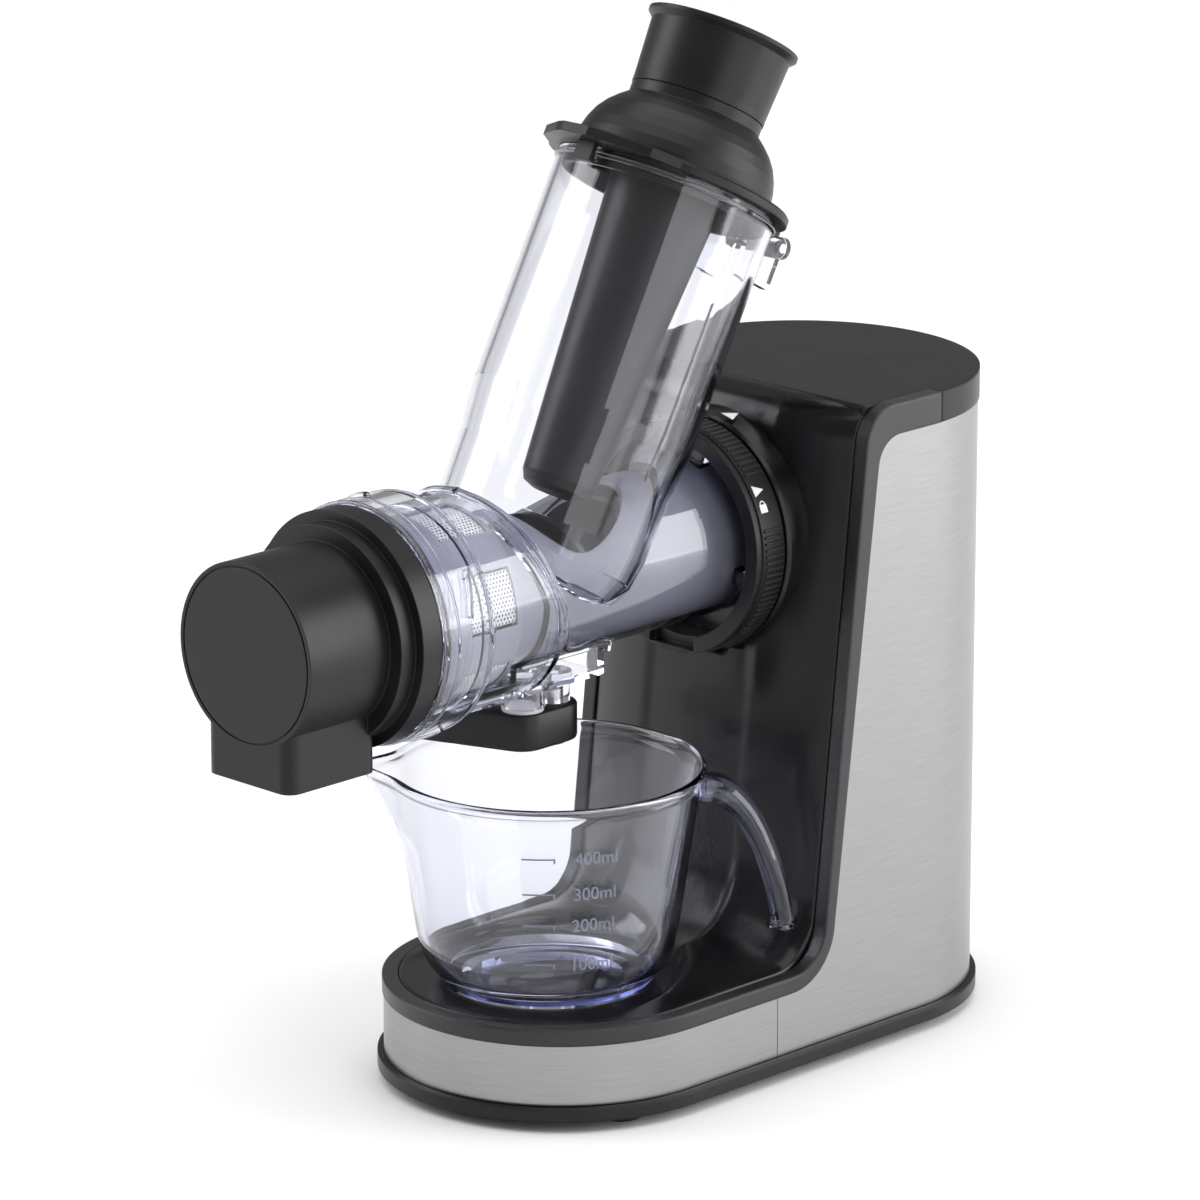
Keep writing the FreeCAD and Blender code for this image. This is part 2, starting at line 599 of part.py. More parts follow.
def gear_wire(module, teeth, phase, backlash=0.12):
    """Outline of a spur gear with 20 degree involute flanks, in its own XY plane."""
    pitch = module * teeth / 2
    base = pitch * math.cos(math.radians(20))
    tip = pitch + 0.85 * module
    root = pitch - 1.15 * module
    lean = math.tan(math.radians(20)) - math.radians(20)
    half = math.pi / (2 * teeth) - backlash / pitch / 2
    flank = []
    start = max(base, root + 0.02)
    for step in range(5):
        radius = start + (tip - start) * step / 4
        roll = math.acos(min(base / radius, 1))
        flank.append((radius, half + lean - (math.tan(roll) - roll)))
    points = []
    for tooth in range(teeth):
        middle = phase + 2 * math.pi * tooth / teeth
        left = [(root, middle - flank[0][1])] + [(radius, middle - turn) for radius, turn in flank]
        right = [(radius, 2 * middle - turn) for radius, turn in reversed(left)]
        for radius, turn in left + right:
            points.append(Vector(radius * math.cos(turn), radius * math.sin(turn), 0))
    return Part.makePolygon(points + points[:1])


def gear_solid(module, teeth, phase, front, wide, z, bore):
    """A spur gear about an axis along +Y, in the plane of the gearbox."""
    face = Part.Face(gear_wire(module, teeth, phase))
    solid = face.extrude(Vector(0, 0, wide)).cut(Part.makeCylinder(bore, wide))
    solid.Placement = Placement(Vector(0, front, z), DRUM)
    return solid


def gears():
    idler_z, rotor_z = amount(IDLER_Z), amount(ROTOR_Z)
    slow, fast = SIZE["gear_module"], SIZE["fast_module"]
    # A tooth of the output gear points straight down into a gap of the idler pinion, and a tooth of the
    # idler gear points down into a gap of the motor pinion. Local +Y is world -Z.
    down = math.pi / 2
    gap_up = -math.pi / 2 + math.pi / SIZE["pinion_teeth"]
    gap_up_fast = -math.pi / 2 + math.pi / SIZE["rotor_teeth"]
    output = gear_solid(slow, SIZE["gear_teeth"], down, 41.8, 9, SIZE["axis_z"], SIZE["shaft_radius"])
    node(featured("output_gear", output), "output_gear")
    pinion = gear_solid(slow, SIZE["pinion_teeth"], gap_up, 41.8, 11, idler_z,
                        SIZE["idler_pin_radius"] + 0.05)
    wheel = gear_solid(fast, SIZE["idler_teeth"], down, 52.3, 6, idler_z, SIZE["idler_pin_radius"] + 0.05)
    node(featured("idler_gear", pinion.fuse(wheel).removeSplitter()), "idler_gear")
    small = gear_solid(fast, SIZE["rotor_teeth"], gap_up_fast, 52, 7, rotor_z, SIZE["rotor_shaft_radius"])
    node(featured("motor_pinion", small), "motor_pinion")


def hexagon(name, flats, start, length):
    """A hexagonal bar along +Y on the drum axis."""
    item = doc.addObject("Part::Prism", name)
    item.Polygon = 6
    bind(item, Circumradius=f"({flats}) / 2 / cos(30)", Height=length)
    return place(item, ("0", start, "axis_z"), DRUM)


def shafts():
    body = rod("shaft_body", "shaft_radius", "neck_front + 3", "case_back - neck_front - 5")
    node(fuse("output_shaft", body, hexagon("shaft_hex", "hex_flats", "-10", "neck_front + 14")),
         "output_shaft")
    node(rod("idler_pin", "idler_pin_radius", "case_front + case_wall - 1.5",
             "case_back - case_front - case_wall + 3",
             z=IDLER_Z), "idler_pin")
    shaft = rod("rotor_shaft", "rotor_shaft_radius", "51", "can_back - 48", z=ROTOR_Z)
    core = rod("rotor_core", 20, "can_front + 9", "can_back - can_front - 22", z=ROTOR_Z)
    commutator = rod("commutator", 9, "can_front + 3", "5", z=ROTOR_Z)
    node(fuse("motor_rotor", shaft, core, commutator), "motor_rotor")


def bearing(label, start, z, inner, outer, wide):
    ring = rod(f"{label}_ring", outer, start, wide, z=z)
    node(cut(label, ring, rod(f"{label}_hole", inner, f"{start} - 1", f"{wide} + 2", z=z)), label)


def gearbox():
    upper = rod("case_upper", "gear_module * gear_teeth / 2 + 5.5", "case_front", "case_back - case_front")
    lower = rod("case_lower", "fast_module * idler_teeth / 2 + 5.5", "case_front", "case_back - case_front",
                z=IDLER_Z)
    tail = rod("case_tail", 13, "case_front", "case_back - case_front", z=ROTOR_Z)
    nose = rod("case_nose", 16, "neck_front + 5", "case_front - neck_front - 4")
    inside = [rod("case_upper_in", "gear_module * gear_teeth / 2 + 2.5", "case_front + case_wall", "60"),
              rod("case_lower_in", "fast_module * idler_teeth / 2 + 2.5", "case_front + case_wall", "60",
                  z=IDLER_Z),
              rod("case_tail_in", 10, "case_front + case_wall", "60", z=ROTOR_Z)]
    bores = [rod("nose_seat", 13, "neck_front + 4", "10"), rod("nose_bore", "shaft_radius + 1", "0", "60"),
             rod("pin_seat", "idler_pin_radius", "case_front + case_wall - 1.5", "4", z=IDLER_Z)]
    node(cut("gearbox_case", fuse("case_body", upper, lower, tail, nose), *inside, *bores), "gearbox_case")
    bearing("front_bearing", "neck_front + 5", "axis_z", "shaft_radius + 0.05", "13", "9")

    cover_parts = [rod("cover_upper", "gear_module * gear_teeth / 2 + 5.5", "case_back", "case_wall"),
                   rod("cover_lower", "fast_module * idler_teeth / 2 + 5.5", "case_back", "case_wall",
                       z=IDLER_Z),
                   rod("cover_tail", 13, "case_back", "case_wall", z=ROTOR_Z),
                   rod("cover_boss", 14, "case_back - 9", "12")]
    cover_bores = [rod("cover_shaft_bore", "rotor_shaft_radius + 2", "0", "90", z=ROTOR_Z),
                   rod("cover_pin_seat", "idler_pin_radius", "case_back - 1", "2.5", z=IDLER_Z),
                   rod("cover_bearing_seat", 11, "case_back - 10", "9")]
    node(cut("gearbox_cover", fuse("gear_cover_body", *cover_parts), *cover_bores), "gearbox_cover")
    bearing("rear_bearing", "case_back - 8", "axis_z", "shaft_radius + 0.05", "11", "6")


def motor():
    can = rod("can_outer", "can_radius", "can_front", "can_back - can_front", z=ROTOR_Z)
    hollow = rod("can_inner", "can_radius - 1.6", "can_front + 1.6", "80", z=ROTOR_Z)
    eye = rod("can_eye", "rotor_shaft_radius + 1", "can_front - 1", "6", z=ROTOR_Z)
    node(cut("motor_can", can, hollow, eye), "motor_can")
    magnets = rod("magnet_ring", "can_radius - 1.6", "can_front + 8", "can_back - can_front - 20",
                  z=ROTOR_Z)
    node(cut("motor_stator", magnets, rod("magnet_hole", 21.2, "can_front", "80", z=ROTOR_Z)),
         "motor_stator")
    bell = rod("bell_disc", "can_radius", "can_back", "2", z=ROTOR_Z)
    boss = rod("bell_boss", 7, "can_back", "5", z=ROTOR_Z)
    eye_back = rod("bell_eye", "rotor_shaft_radius + 0.05", "can_back - 1", "9", z=ROTOR_Z)
    node(cut("motor_end_bell", fuse("bell_body", bell, boss), eye_back), "motor_end_bell")
    hub = rod("fan_hub", 6, "can_back - 10", "6", z=ROTOR_Z)
    blades = [hub]
    for number in range(8):
        blade = doc.addObject("Part::Box", f"fan_blade{number}")
        bind(blade, Length=20, Width=1.2, Height=6)
        turn = DRUM.multiply(Rotation(Vector(0, 0, 1), number * 45))
        blades.append(place(blade, ("0", "can_back - 10", ROTOR_Z), turn))
    fan = fuse("fan_body", *blades)
    node(cut("cooling_fan", fan, rod("fan_bore", "rotor_shaft_radius", "can_front", "80", z=ROTOR_Z)),
         "cooling_fan")


# ---------------------------------------------------------------- drum

def drum():
    throat_length = "throat_back - sieve_back + 6"
    jacket_length = "jacket_back - jacket_front"
    tube_outer = turned("tube_outer", [
        ("0", "-9"), ("14", "-8.5"), ("25", "-5"), ("33", "1"), ("37", "9"), ("38.4", "20"), ("38.8", "42"),
        ("tube_radius", "62"), ("tube_radius", "tube_top"), ("0", "tube_top")], TUBE_PLACE, TUBE)
    tube_inner = turned("tube_inner", [
        ("0", "-5"), ("13", "-5"), ("23", "-2"), ("30.4", "3"), ("34.4", "10"), ("36", "20"),
        ("36.4", "42"),
        ("tube_radius - tube_wall", "62"), ("tube_radius - tube_wall", "tube_top + 5"),
        ("0", "tube_top + 5")],
        TUBE_PLACE, TUBE)
    throat = rod("throat", "throat_radius", "sieve_back - 6", throat_length)
    jacket_round = rod("jacket_round", "jacket_radius", "jacket_front", jacket_length)
    jacket_cutter = slab("jacket_cutter", [
        ("-111", "axis_z + 60"), ("-111", "axis_z + 38"), ("-97", "axis_z"), ("-97", "axis_z - 60"),
        ("-60", "axis_z - 60"), ("-60", "axis_z + 60")], "60")
    jacket = cut("jacket", jacket_round, jacket_cutter)
    lip_round = rod("lip_round", "jacket_radius + 1.6", "jacket_front", jacket_length)
    lip_band = slab("lip_band", [
        ("-114", "axis_z + 60"), ("-114", "axis_z + 38"), ("-100", "axis_z"), ("-100", "axis_z - 60"),
        ("-97", "axis_z - 60"), ("-97", "axis_z"), ("-111", "axis_z + 38"), ("-111", "axis_z + 60")], "60")
    lip = common("lip", lip_round, lip_band)
    collar_ring = cut("collar_ring", rod("collar_outer", "collar_radius", "collar_front", "collar_long"),
                      rod("collar_inner", "collar_bore", "collar_front - 1", "collar_long - 1.2"))
    trough_length = "trough_back - jacket_back + 30"
    trough = box("trough", ("-trough_half", "jacket_back - 30", "trough_low"),
                 ("2 * trough_half", trough_length, "14"))
    trough_lip = box("trough_lip", ("-trough_half - 1.6", "jacket_back", "trough_low + 10.5"),
                     ("2 * trough_half + 3.2", "trough_back - jacket_back + 1.6", "3.5"))
    boss = cylinder("lever_boss", 6, "10", ("0", "lever_y", "lever_low + lever_high + 0.4"))
    spout = cylinder("spout", "spout_radius", "14", ("0", "spout_y", "spout_low"))
    ears = hinge_ears()
    lugs = []
    for number in range(4):
        lug = doc.addObject("Part::Box", f"lug{number}")
        bind(lug, Length=9, Width=6, Height=5)
        turn = DRUM.multiply(Rotation(Vector(0, 0, 1), number * 90 + 20))
        offset = turn.multVec(Vector(26, -4.5, 0))
        lug.Placement = Placement(Vector(offset.x, -4 + offset.y, SIZE["axis_z"] + offset.z), turn)
        lugs.append(lug)
    outer = fuse("drum_outer", tube_outer, throat, jacket, lip, collar_ring, trough, trough_lip, boss,
                 spout, *ears, *lugs)
    jacket_core = slab("jacket_core", [
        ("-113", "axis_z + 60"), ("-113", "axis_z + 38"), ("-99", "axis_z"), ("-99", "axis_z - 60"),
        ("-50", "axis_z - 60"), ("-50", "axis_z + 60")], "60")
    jacket_bored = rod("jacket_bored", "jacket_bore", "jacket_front - 3", jacket_length)
    jacket_hollow = cut("jacket_hollow", jacket_bored, jacket_core)
    trough_hollow = box("trough_hollow", ("-trough_half + 2", "jacket_back - 20", "trough_low + 2"),
                        ("2 * trough_half - 4", "trough_back - jacket_back + 18", "10"))
    hollows = [tube_inner, jacket_hollow, trough_hollow,
               rod("throat_bored", "throat_bore", "sieve_back - 8", "throat_back - sieve_back + 5"),
               rod("hub_hole", "hub_radius + 2", "-10", "40"),
               cylinder("spout_hollow", "spout_bore", "20", ("0", "spout_y", "spout_low - 1")),
               cylinder("pin_hole", "2.5", "7", ("0", "lever_y", "lever_low + lever_high - 1"))]
    node(cut("drum", outer, *hollows), "drum")


def tube_spot(x, out, up):
    """A placement in the feed tube's frame: out is behind the axis, up is along it."""
    turn = Rotation(Vector(1, 0, 0), -SIZE["tube_lean"])
    offset = turn.multVec(Vector(x, out, up))
    return Placement(Vector(0, SIZE["tube_foot_y"], SIZE["axis_z"]) + offset, turn)


def place_in_tube(item, up):
    """Moves a piece drawn about Z into the feed tube's frame, this far up its axis."""
    item.Placement = tube_spot(0, 0, amount(up))
    for axis in "xyz":
        item.setExpression(f"Placement.Base.{axis}", None)
    return item


def tube_box(name, low, size):
    """A box in the feed tube's frame."""
    item = doc.addObject("Part::Box", name)
    bind(item, Length=size[0], Width=size[1], Height=size[2])
    item.Placement = tube_spot(*[amount(text) for text in low])
    return item


def tube_cross_rod(name, radius, half):
    """A cylinder across the feed tube on the lid hinge's axis."""
    item = doc.addObject("Part::Cylinder", name)
    bind(item, Radius=radius, Height=f"2 * ({half})")
    spot = tube_spot(-amount(half), SIZE["hinge_out"], SIZE["hinge_up"])
    item.Placement = Placement(spot.Base, SIDE)
    return item


def hinge_ears():
    ears = []
    bore = tube_cross_rod("ear_bore", "hinge_pin_radius", "30")
    for number, x in enumerate(("-13", "9.3")):
        arm = tube_box(f"ear_arm{number}", (x, "tube_radius - 2", "hinge_up - 16"),
                       ("3.7", "hinge_out - tube_radius + 2", "16"))
        eye = tube_cross_rod(f"ear_eye{number}", "4", "13")
        half = tube_box(f"ear_half{number}", (x, "hinge_out - 6", "hinge_up - 6"), ("3.7", "12", "12"))
        ears.append(cut(f"ear{number}", fuse(f"ear_body{number}", arm,
                                             common(f"ear_round{number}", eye, half)), bore))
    return ears


def lid():
    plate = turned("lid_disc", [
        ("lid_neck_bore", "lid_neck_top"), ("lid_neck_bore", "dome_top - 3"),
        ("dome_radius - 8", "lid_low + 12"),
        ("dome_radius - 4.6", "lid_low"), ("tube_radius - tube_wall - 2.6", "lid_low - 6"),
        ("tube_radius - tube_wall - 0.4", "lid_low - 6"), ("tube_radius - tube_wall - 0.4", "lid_low"),
        ("lid_radius", "lid_low"), ("lid_radius", "lid_low + lid_thick - 1"),
        ("lid_radius - 1", "lid_low + lid_thick"),
        ("dome_radius", "lid_low + lid_thick"), ("dome_radius", "lid_low + 6"),
        ("dome_radius - 0.4", "lid_low + 9.5"), ("dome_radius - 1.5", "lid_low + 13.5"),
        ("dome_radius - 3.3", "lid_low + 17.5"), ("dome_radius - 5.8", "lid_low + 21"),
        ("dome_radius - 8.8", "lid_low + 24"), ("lid_neck_radius", "lid_low + 26.8"),
        ("lid_neck_radius", "lid_neck_top")], TUBE_PLACE, TUBE)
    arm = tube_box("lid_arm", ("-9", "lid_radius - 6", "lid_low"),
                   ("18", "hinge_out - lid_radius + 6", "lid_thick"))
    knuckle = tube_cross_rod("lid_knuckle", "4", "9")
    lobe = padded("lid_lobe", [("-35", "-26"), ("-26", "-41"), ("-11", "-51.5"), ("-6", "-54"),
                               ("6", "-54"),
                               ("11", "-51.5"), ("26", "-41"), ("35", "-26")], "0", "lid_thick")
    tongue = place_in_tube(lobe, "lid_low")
    tongue = cut("lid_tongue", tongue, cylinder("lobe_hole", "tube_radius - 4", 400, TUBE_PLACE, TUBE))
    bore = tube_cross_rod("lid_bore", "hinge_pin_radius + 0.05", "30")
    node(cut("lid", fuse("lid_body", plate, arm, knuckle, tongue), bore), "lid")
    node(tube_cross_rod("lid_hinge_pin", "hinge_pin_radius", "13"), "lid_hinge_pin")
    clip = tube_box("clip_leg", ("-4", "-46", "lid_low - 7"), ("8", "2", "7"))
    hook = tube_box("clip_hook", ("-4", "-46", "lid_low - 7"), ("8", "3.2", "1.8"))
    node(fuse("lid_catch", clip, hook), "lid_catch")


def pusher():
    cup_floor = "lid_neck_top + 6"
    node(turned("pusher", [
        ("0", "pusher_tip"), ("pusher_tip_radius - 5", "pusher_tip"),
        ("pusher_tip_radius - 1.5", "pusher_tip + 1.5"), ("pusher_tip_radius", "pusher_tip + 5"),
        ("pusher_top_radius", "lid_neck_top - 22"), ("pusher_top_radius", "lid_neck_top + 0.2"),
        ("cup_radius", "lid_neck_top + 0.2"), ("cup_radius", "lid_neck_top + 3"),
        ("cup_mouth", "cup_top - 3.4"),
        ("cup_rim", "cup_top - 1.4"), ("cup_rim", "cup_top"), ("cup_mouth - 1.6", "cup_top - 1"),
        ("cup_radius - 2.2", cup_floor), ("0", cup_floor)], TUBE_PLACE, TUBE), "pusher")


def strainer():
    sleeve = turned("sleeve", [
        ("basket_bore", "throat_back - 4"), ("basket_radius", "throat_back - 4"),
        ("basket_radius", "sieve_back + 4"),
        ("sieve_radius", "sieve_back"), ("sieve_radius", "jacket_front + 4"),
        ("jacket_bore - 0.3", "jacket_front + 4"), ("jacket_bore - 0.3", "jacket_front + 0.5"),
        ("sieve_bore", "jacket_front + 0.5"), ("sieve_bore", "sieve_back - 2"),
        ("basket_bore", "sieve_back + 3")],
        DRUM_PLACE, DRUM)
    mouth = cylinder("sleeve_mouth", 24, 120, TUBE_PLACE, TUBE)
    windows, panes = [], []
    for number in range(6):
        for group, tool, slack in ((windows, "window", "0"), (panes, "pane", "0.15")):
            piece = doc.addObject("Part::Box", f"{tool}{number}")
            bind(piece, Length=12, Width=f"2 * window_half - 2 * {slack}",
                 Height=f"window_long - 2 * {slack}")
            turn = DRUM.multiply(Rotation(Vector(0, 0, 1), number * 60 - 14))
            offset = turn.multVec(Vector(26, -amount(f"window_half - {slack}"), 0))
            start = amount(f"window_front + {slack}")
            piece.Placement = Placement(Vector(offset.x, start + offset.y, SIZE["axis_z"] + offset.z), turn)
            group.append(piece)
    node(cut("strainer_basket", sleeve, mouth, *windows), "strainer_basket")
    skin = cut("mesh_skin", rod("mesh_outer", "sieve_bore + 1.1", "window_front - 5", "window_long + 10"),
               rod("mesh_inner", "sieve_bore + 0.5", "window_front - 6", "window_long + 12"))
    node(common("strainer_mesh", skin, fuse("pane_group", *panes)), "strainer_mesh")


def pressing_screw():
    root = turned("screw_root", [
        ("0", "throat_back - 1"), ("hub_radius", "throat_back - 1"), ("hub_radius", "3"),
        ("screw_root_back", "1.6"),
        ("screw_root_back", "-30"), ("screw_root_front", "sieve_back - 4"),
        ("screw_root_front + 1", "jacket_front + 6"),
        ("journal_radius + 3", "jacket_front - 2"), ("journal_radius", "jacket_front - 4"),
        ("journal_radius", "cap_front + 9"), ("0", "cap_front + 9")], DRUM_PLACE, DRUM)
    socket = hexagon("screw_socket", "hex_flats + 0.3", "-11", "20")
    doc.recompute()
    flight = flight_solid(SIZE["screw_radius"], SIZE["screw_root_back"] - 1.5, SIZE["screw_pitch"], 4.5, -6,
                          SIZE["jacket_front"] + 10)
    envelope = turned("flight_envelope", [
        ("0", "0"), ("screw_radius + 1", "0"), ("screw_radius + 1", "-38"), ("screw_waist", "-46"),
        ("screw_waist", "-78"), ("screw_radius + 1", "-88"), ("screw_radius + 1", "jacket_front"),
        ("0", "jacket_front")], DRUM_PLACE, DRUM)
    flight_item = common("flight_trimmed", featured("screw_flight", flight), envelope)
    bored_root = cut("screw_bored", root, socket)
    node(fuse("pressing_screw", bored_root, flight_item, tidy_seams=False), "pressing_screw")


def flight_solid(radius, root, pitch, thick, start, end):
    """A helical flight about the drum axis, swept from y = start forwards to y = end."""
    length = abs(end - start) - thick
    helix = Part.makeLongHelix(pitch, length, root, 0, False)
    half = thick / 2
    corners = [Vector(root, 0, -half), Vector(radius, 0, -half * 0.5), Vector(radius, 0, half * 0.5),
               Vector(root, 0, half)]
    profile = Part.makePolygon(corners + corners[:1])
    solid = Part.Wire(helix).makePipeShell([profile], True, True)
    turn = Rotation(Vector(1, 0, 0), 90)
    solid.Placement = Placement(Vector(0, start - half, SIZE["axis_z"]), turn)
    return solid


def upright_block(name, low, size, radius):
    """A box whose four upright edges are rounded."""
    block = box(f"{name}_block", low, size)
    doc.recompute()
    upright = [index for index, edge in enumerate(block.Shape.Edges, start=1)
               if abs(edge.tangentAt(edge.FirstParameter).z) > 0.9]
    rounded = doc.addObject("Part::Fillet", name)
    rounded.Base = block
    rounded.Edges = [(index, radius, radius) for index in upright]
    return rounded


def pulp_cap():
    barrel = rod("cap_barrel", "cap_radius", "cap_front", "cap_step_front - cap_front + 1")
    step = rod("cap_step", "cap_step_radius", "cap_step_front", "cap_flange_front - cap_step_front + 1")
    flange = rod("cap_flange", "cap_flange_radius", "cap_flange_front",
                 "cap_flange_back - cap_flange_front")
    spigot = cut("cap_spigot", rod("spigot_outer", "collar_bore - 0.4", "cap_flange_back - 1", "6"),
                 rod("spigot_inner", "jacket_radius + 0.4", "cap_flange_back - 2", "20"))
    chute = upright_block("chute", ("-chute_half", "cap_front", "chute_low"),
                          ("2 * chute_half", "chute_back - cap_front", "axis_z - chute_low"), 5)
    chute_hollow = upright_block("chute_hollow",
                                 ("-chute_half + cap_wall", "cap_front + cap_wall", "chute_low - 1"),
                                 ("2 * chute_half - 2 * cap_wall", "chute_back - cap_front - 2 * cap_wall",
                                  "axis_z - chute_low"), 2.6)
    hollow = rod("cap_hollow", "cap_radius - cap_wall", "cap_front + cap_wall", "60")
    boss = rod("cap_boss", 10, "cap_front + 1", "14")
    bush_seat = rod("bush_seat", 8, "cap_front + 3", "40")
    groove = cut("face_groove", rod("face_groove_outer", "cap_radius - 1.4", "cap_front - 1", "1.7"),
                 rod("face_groove_inner", "cap_radius - 2.2", "cap_front - 2", "4"))
    shell = cut("cap_shell", fuse("cap_solid", barrel, step, flange, chute), hollow, chute_hollow, groove)
    node(cut("pulp_cap", fuse("cap_with_boss", shell, spigot, boss), bush_seat), "pulp_cap")
    bush = rod("bush_outer", 8, "cap_front + 3", "12")
    node(cut("screw_end_bush", bush, rod("bush_bore", "journal_radius + 0.05", "cap_front + 4.5", "20")),
         "screw_end_bush")


def drum_seal():
    ring = rod("seal_ring", "hub_radius + 2", "throat_back - 5", "5")
    node(cut("drum_seal", ring, rod("seal_bore", "hub_radius + 0.05", "-5", "24")), "drum_seal")


def capsule(name, start, end, radius, low, high):
    """A bar with round ends between two points of the plan."""
    length = math.dist(start, end)
    angle = math.degrees(math.atan2(end[1] - start[1], end[0] - start[0]))
    bar = doc.addObject("Part::Box", f"{name}_bar")
    bind(bar, Length=str(length), Width=2 * radius, Height=f"({high}) - ({low})")
    turn = Rotation(Vector(0, 0, 1), angle)
    corner = turn.multVec(Vector(0, -radius, 0))
    bar.Placement = Placement(Vector(start[0] + corner.x, start[1] + corner.y, amount(low)), turn)
    ends = [cylinder(f"{name}_end{number}", radius, f"({high}) - ({low})",
                     (str(spot[0]), str(spot[1]), low))
            for number, spot in enumerate((start, end))]
    return fuse(name, bar, *ends)


def drip_lever():
    high = "lever_low + lever_high"
    pivot = (0, SIZE["lever_y"])
    pad = (0, SIZE["spout_y"])
    tip = (SIZE["lever_tip_x"], SIZE["lever_tip_y"])
    heel = capsule("lever_heel", pivot, pad, 8.6, "lever_low", high)
    arm = capsule("lever_arm", (-3, SIZE["lever_y"] - 1), tip, 8, "lever_low", high)
    bore = cylinder("lever_bore", 2.55, "20", ("0", "lever_y", "lever_low - 1"))
    sink = cylinder("lever_sink", "spout_radius - 0.4", "3", ("0", "spout_y", f"{high} - 1.4"))
    node(cut("drip_lever", fuse("lever_body", heel, arm), bore, sink), "drip_lever")
    node(cylinder("drip_seal", "spout_radius - 0.5", "2.6", ("0", "spout_y", f"{high} - 1.4")), "drip_seal")
    head = cylinder("pin_head", 4, "1.6", ("0", "lever_y", "lever_low - 1.8"))
    shank = cylinder("pin_shank", 2.5, "lever_high + 6", ("0", "lever_y", "lever_low - 1"))
    node(fuse("lever_pin", head, shank), "lever_pin")


# ---------------------------------------------------------------- jug

def jug():
    foot = SIZE["tray_top"] + 0.3
    outer = turned("jug_outer", [
        ("0", "1.2"), ("jug_foot_radius - 2.5", "1.2"), ("jug_foot_radius - 2.5", "0"),
        ("jug_foot_radius", "0"),
        ("jug_foot_radius", "2.2"), ("42.6", "6"), ("45.6", "13"), ("48.6", "30"), ("52", "54"),
        ("54.6", "71"),
        ("jug_rim_radius - 1", "75"), ("jug_rim_radius", "jug_rim_z - tray_top - 2.2"),
        ("jug_rim_radius", "jug_rim_z - tray_top"), ("0", "jug_rim_z - tray_top")],
        ("0", "jug_y", str(foot)))
    inner = turned("jug_inner", [
        ("0", "4.4"), ("jug_foot_radius", "4.4"), ("41.4", "8"), ("43.3", "14"), ("46.4", "30"),
        ("49.8", "54"),
        ("52.6", "72"), ("jug_rim_radius - 2.6", "jug_rim_z - tray_top + 3"),
        ("0", "jug_rim_z - tray_top + 3")],
        ("0", "jug_y", str(foot)))
    turn = math.radians(SIZE["jug_turn"])
    spout_x = f"-spout_reach * {math.sin(turn)}"
    spout_y = f"jug_y - spout_reach * {math.cos(turn)}"
    spout = cone("jug_spout", "3", "15.4", "24", (spout_x, spout_y, "jug_rim_z - 23.8"))
    spout_hollow = cone("jug_spout_hollow", "2.6", "13.4", "24", (spout_x, spout_y, "jug_rim_z - 21"))
    spout_mouth = cylinder("jug_spout_mouth", "13.4", "5", (spout_x, spout_y, "jug_rim_z + 2.9"))
    handle = featured("jug_handle", handle_solid())
    node(cut("jug", fuse("jug_body", outer, spout, handle), inner, spout_hollow, spout_mouth), "jug")


def handle_solid():
    """A hook handle opposite the spout: two arcs, open at its lower end."""
    wide = SIZE["handle_wide"]

    def spot(out, up):
        return Vector(out, 0, up)
    outer = Part.Arc(spot(54, 114), spot(79.5, 93), spot(88.5, 57)).toShape()
    tip = Part.Arc(spot(88.5, 57), spot(84.5, 52.4), spot(80.5, 57)).toShape()
    inner = Part.Arc(spot(80.5, 57), spot(72, 82.5), spot(53, 97)).toShape()
    root = Part.LineSegment(spot(53, 97), spot(54, 114)).toShape()
    face = Part.Face(Part.Wire([outer, tip, inner, root]))
    solid = face.extrude(Vector(0, wide, 0))
    solid.translate(Vector(0, -wide / 2, 0))
    solid.rotate(Vector(), Vector(0, 0, 1), 90 - SIZE["jug_turn"])
    solid.translate(Vector(0, SIZE["jug_y"], 0))
    return solid


BUILDERS = [base_plate, rubber_feet, base_screws, steel_and_housing, edge_trim, top_cover, front_panel,
            jug_tray,
            neck_collar, lock_ring, cord_inlet, power_switch, electronics, gears, shafts, gearbox, motor,
            drum,
            lid, pusher, strainer, pressing_screw, pulp_cap, drum_seal, drip_lever, jug]
for build in BUILDERS:
    build()
doc.recompute()

faults = [item.Name for item in doc.Objects if {"Invalid", "Error"} & set(item.State)]
if faults:
    raise SystemExit(f"objects that failed: {faults}")
for item in NODES:
    if item.Shape.isNull() or not item.Shape.isValid():
        raise SystemExit(f"bad shape: {item.Label}")
    if not item.Shape.Solids:
        raise SystemExit(f"no solid: {item.Label}")

os.makedirs("parts", exist_ok=True)
for item in NODES:
    item.Shape.exportStep(f"parts/{item.Label}.step")
    print(f"{item.Label}: {len(item.Shape.Solids)} solid(s), {item.Shape.Volume / 1000:.2f} cm3")
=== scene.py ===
import math

import bmesh
import bpy
from mathutils import Matrix, Vector
from mathutils.geometry import convex_hull_2d


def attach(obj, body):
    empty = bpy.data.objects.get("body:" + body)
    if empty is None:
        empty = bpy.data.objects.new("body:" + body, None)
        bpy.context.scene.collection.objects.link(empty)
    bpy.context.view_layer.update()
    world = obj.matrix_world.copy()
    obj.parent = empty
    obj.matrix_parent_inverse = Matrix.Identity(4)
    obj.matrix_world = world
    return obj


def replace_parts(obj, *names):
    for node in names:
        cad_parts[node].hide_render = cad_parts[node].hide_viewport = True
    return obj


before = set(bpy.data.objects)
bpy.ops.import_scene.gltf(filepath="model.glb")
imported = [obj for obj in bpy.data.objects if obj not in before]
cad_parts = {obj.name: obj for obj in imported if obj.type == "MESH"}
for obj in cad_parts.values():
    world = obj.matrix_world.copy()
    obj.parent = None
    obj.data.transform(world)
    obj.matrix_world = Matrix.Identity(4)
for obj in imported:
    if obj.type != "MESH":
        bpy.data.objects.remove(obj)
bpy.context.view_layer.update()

MM = 0.001
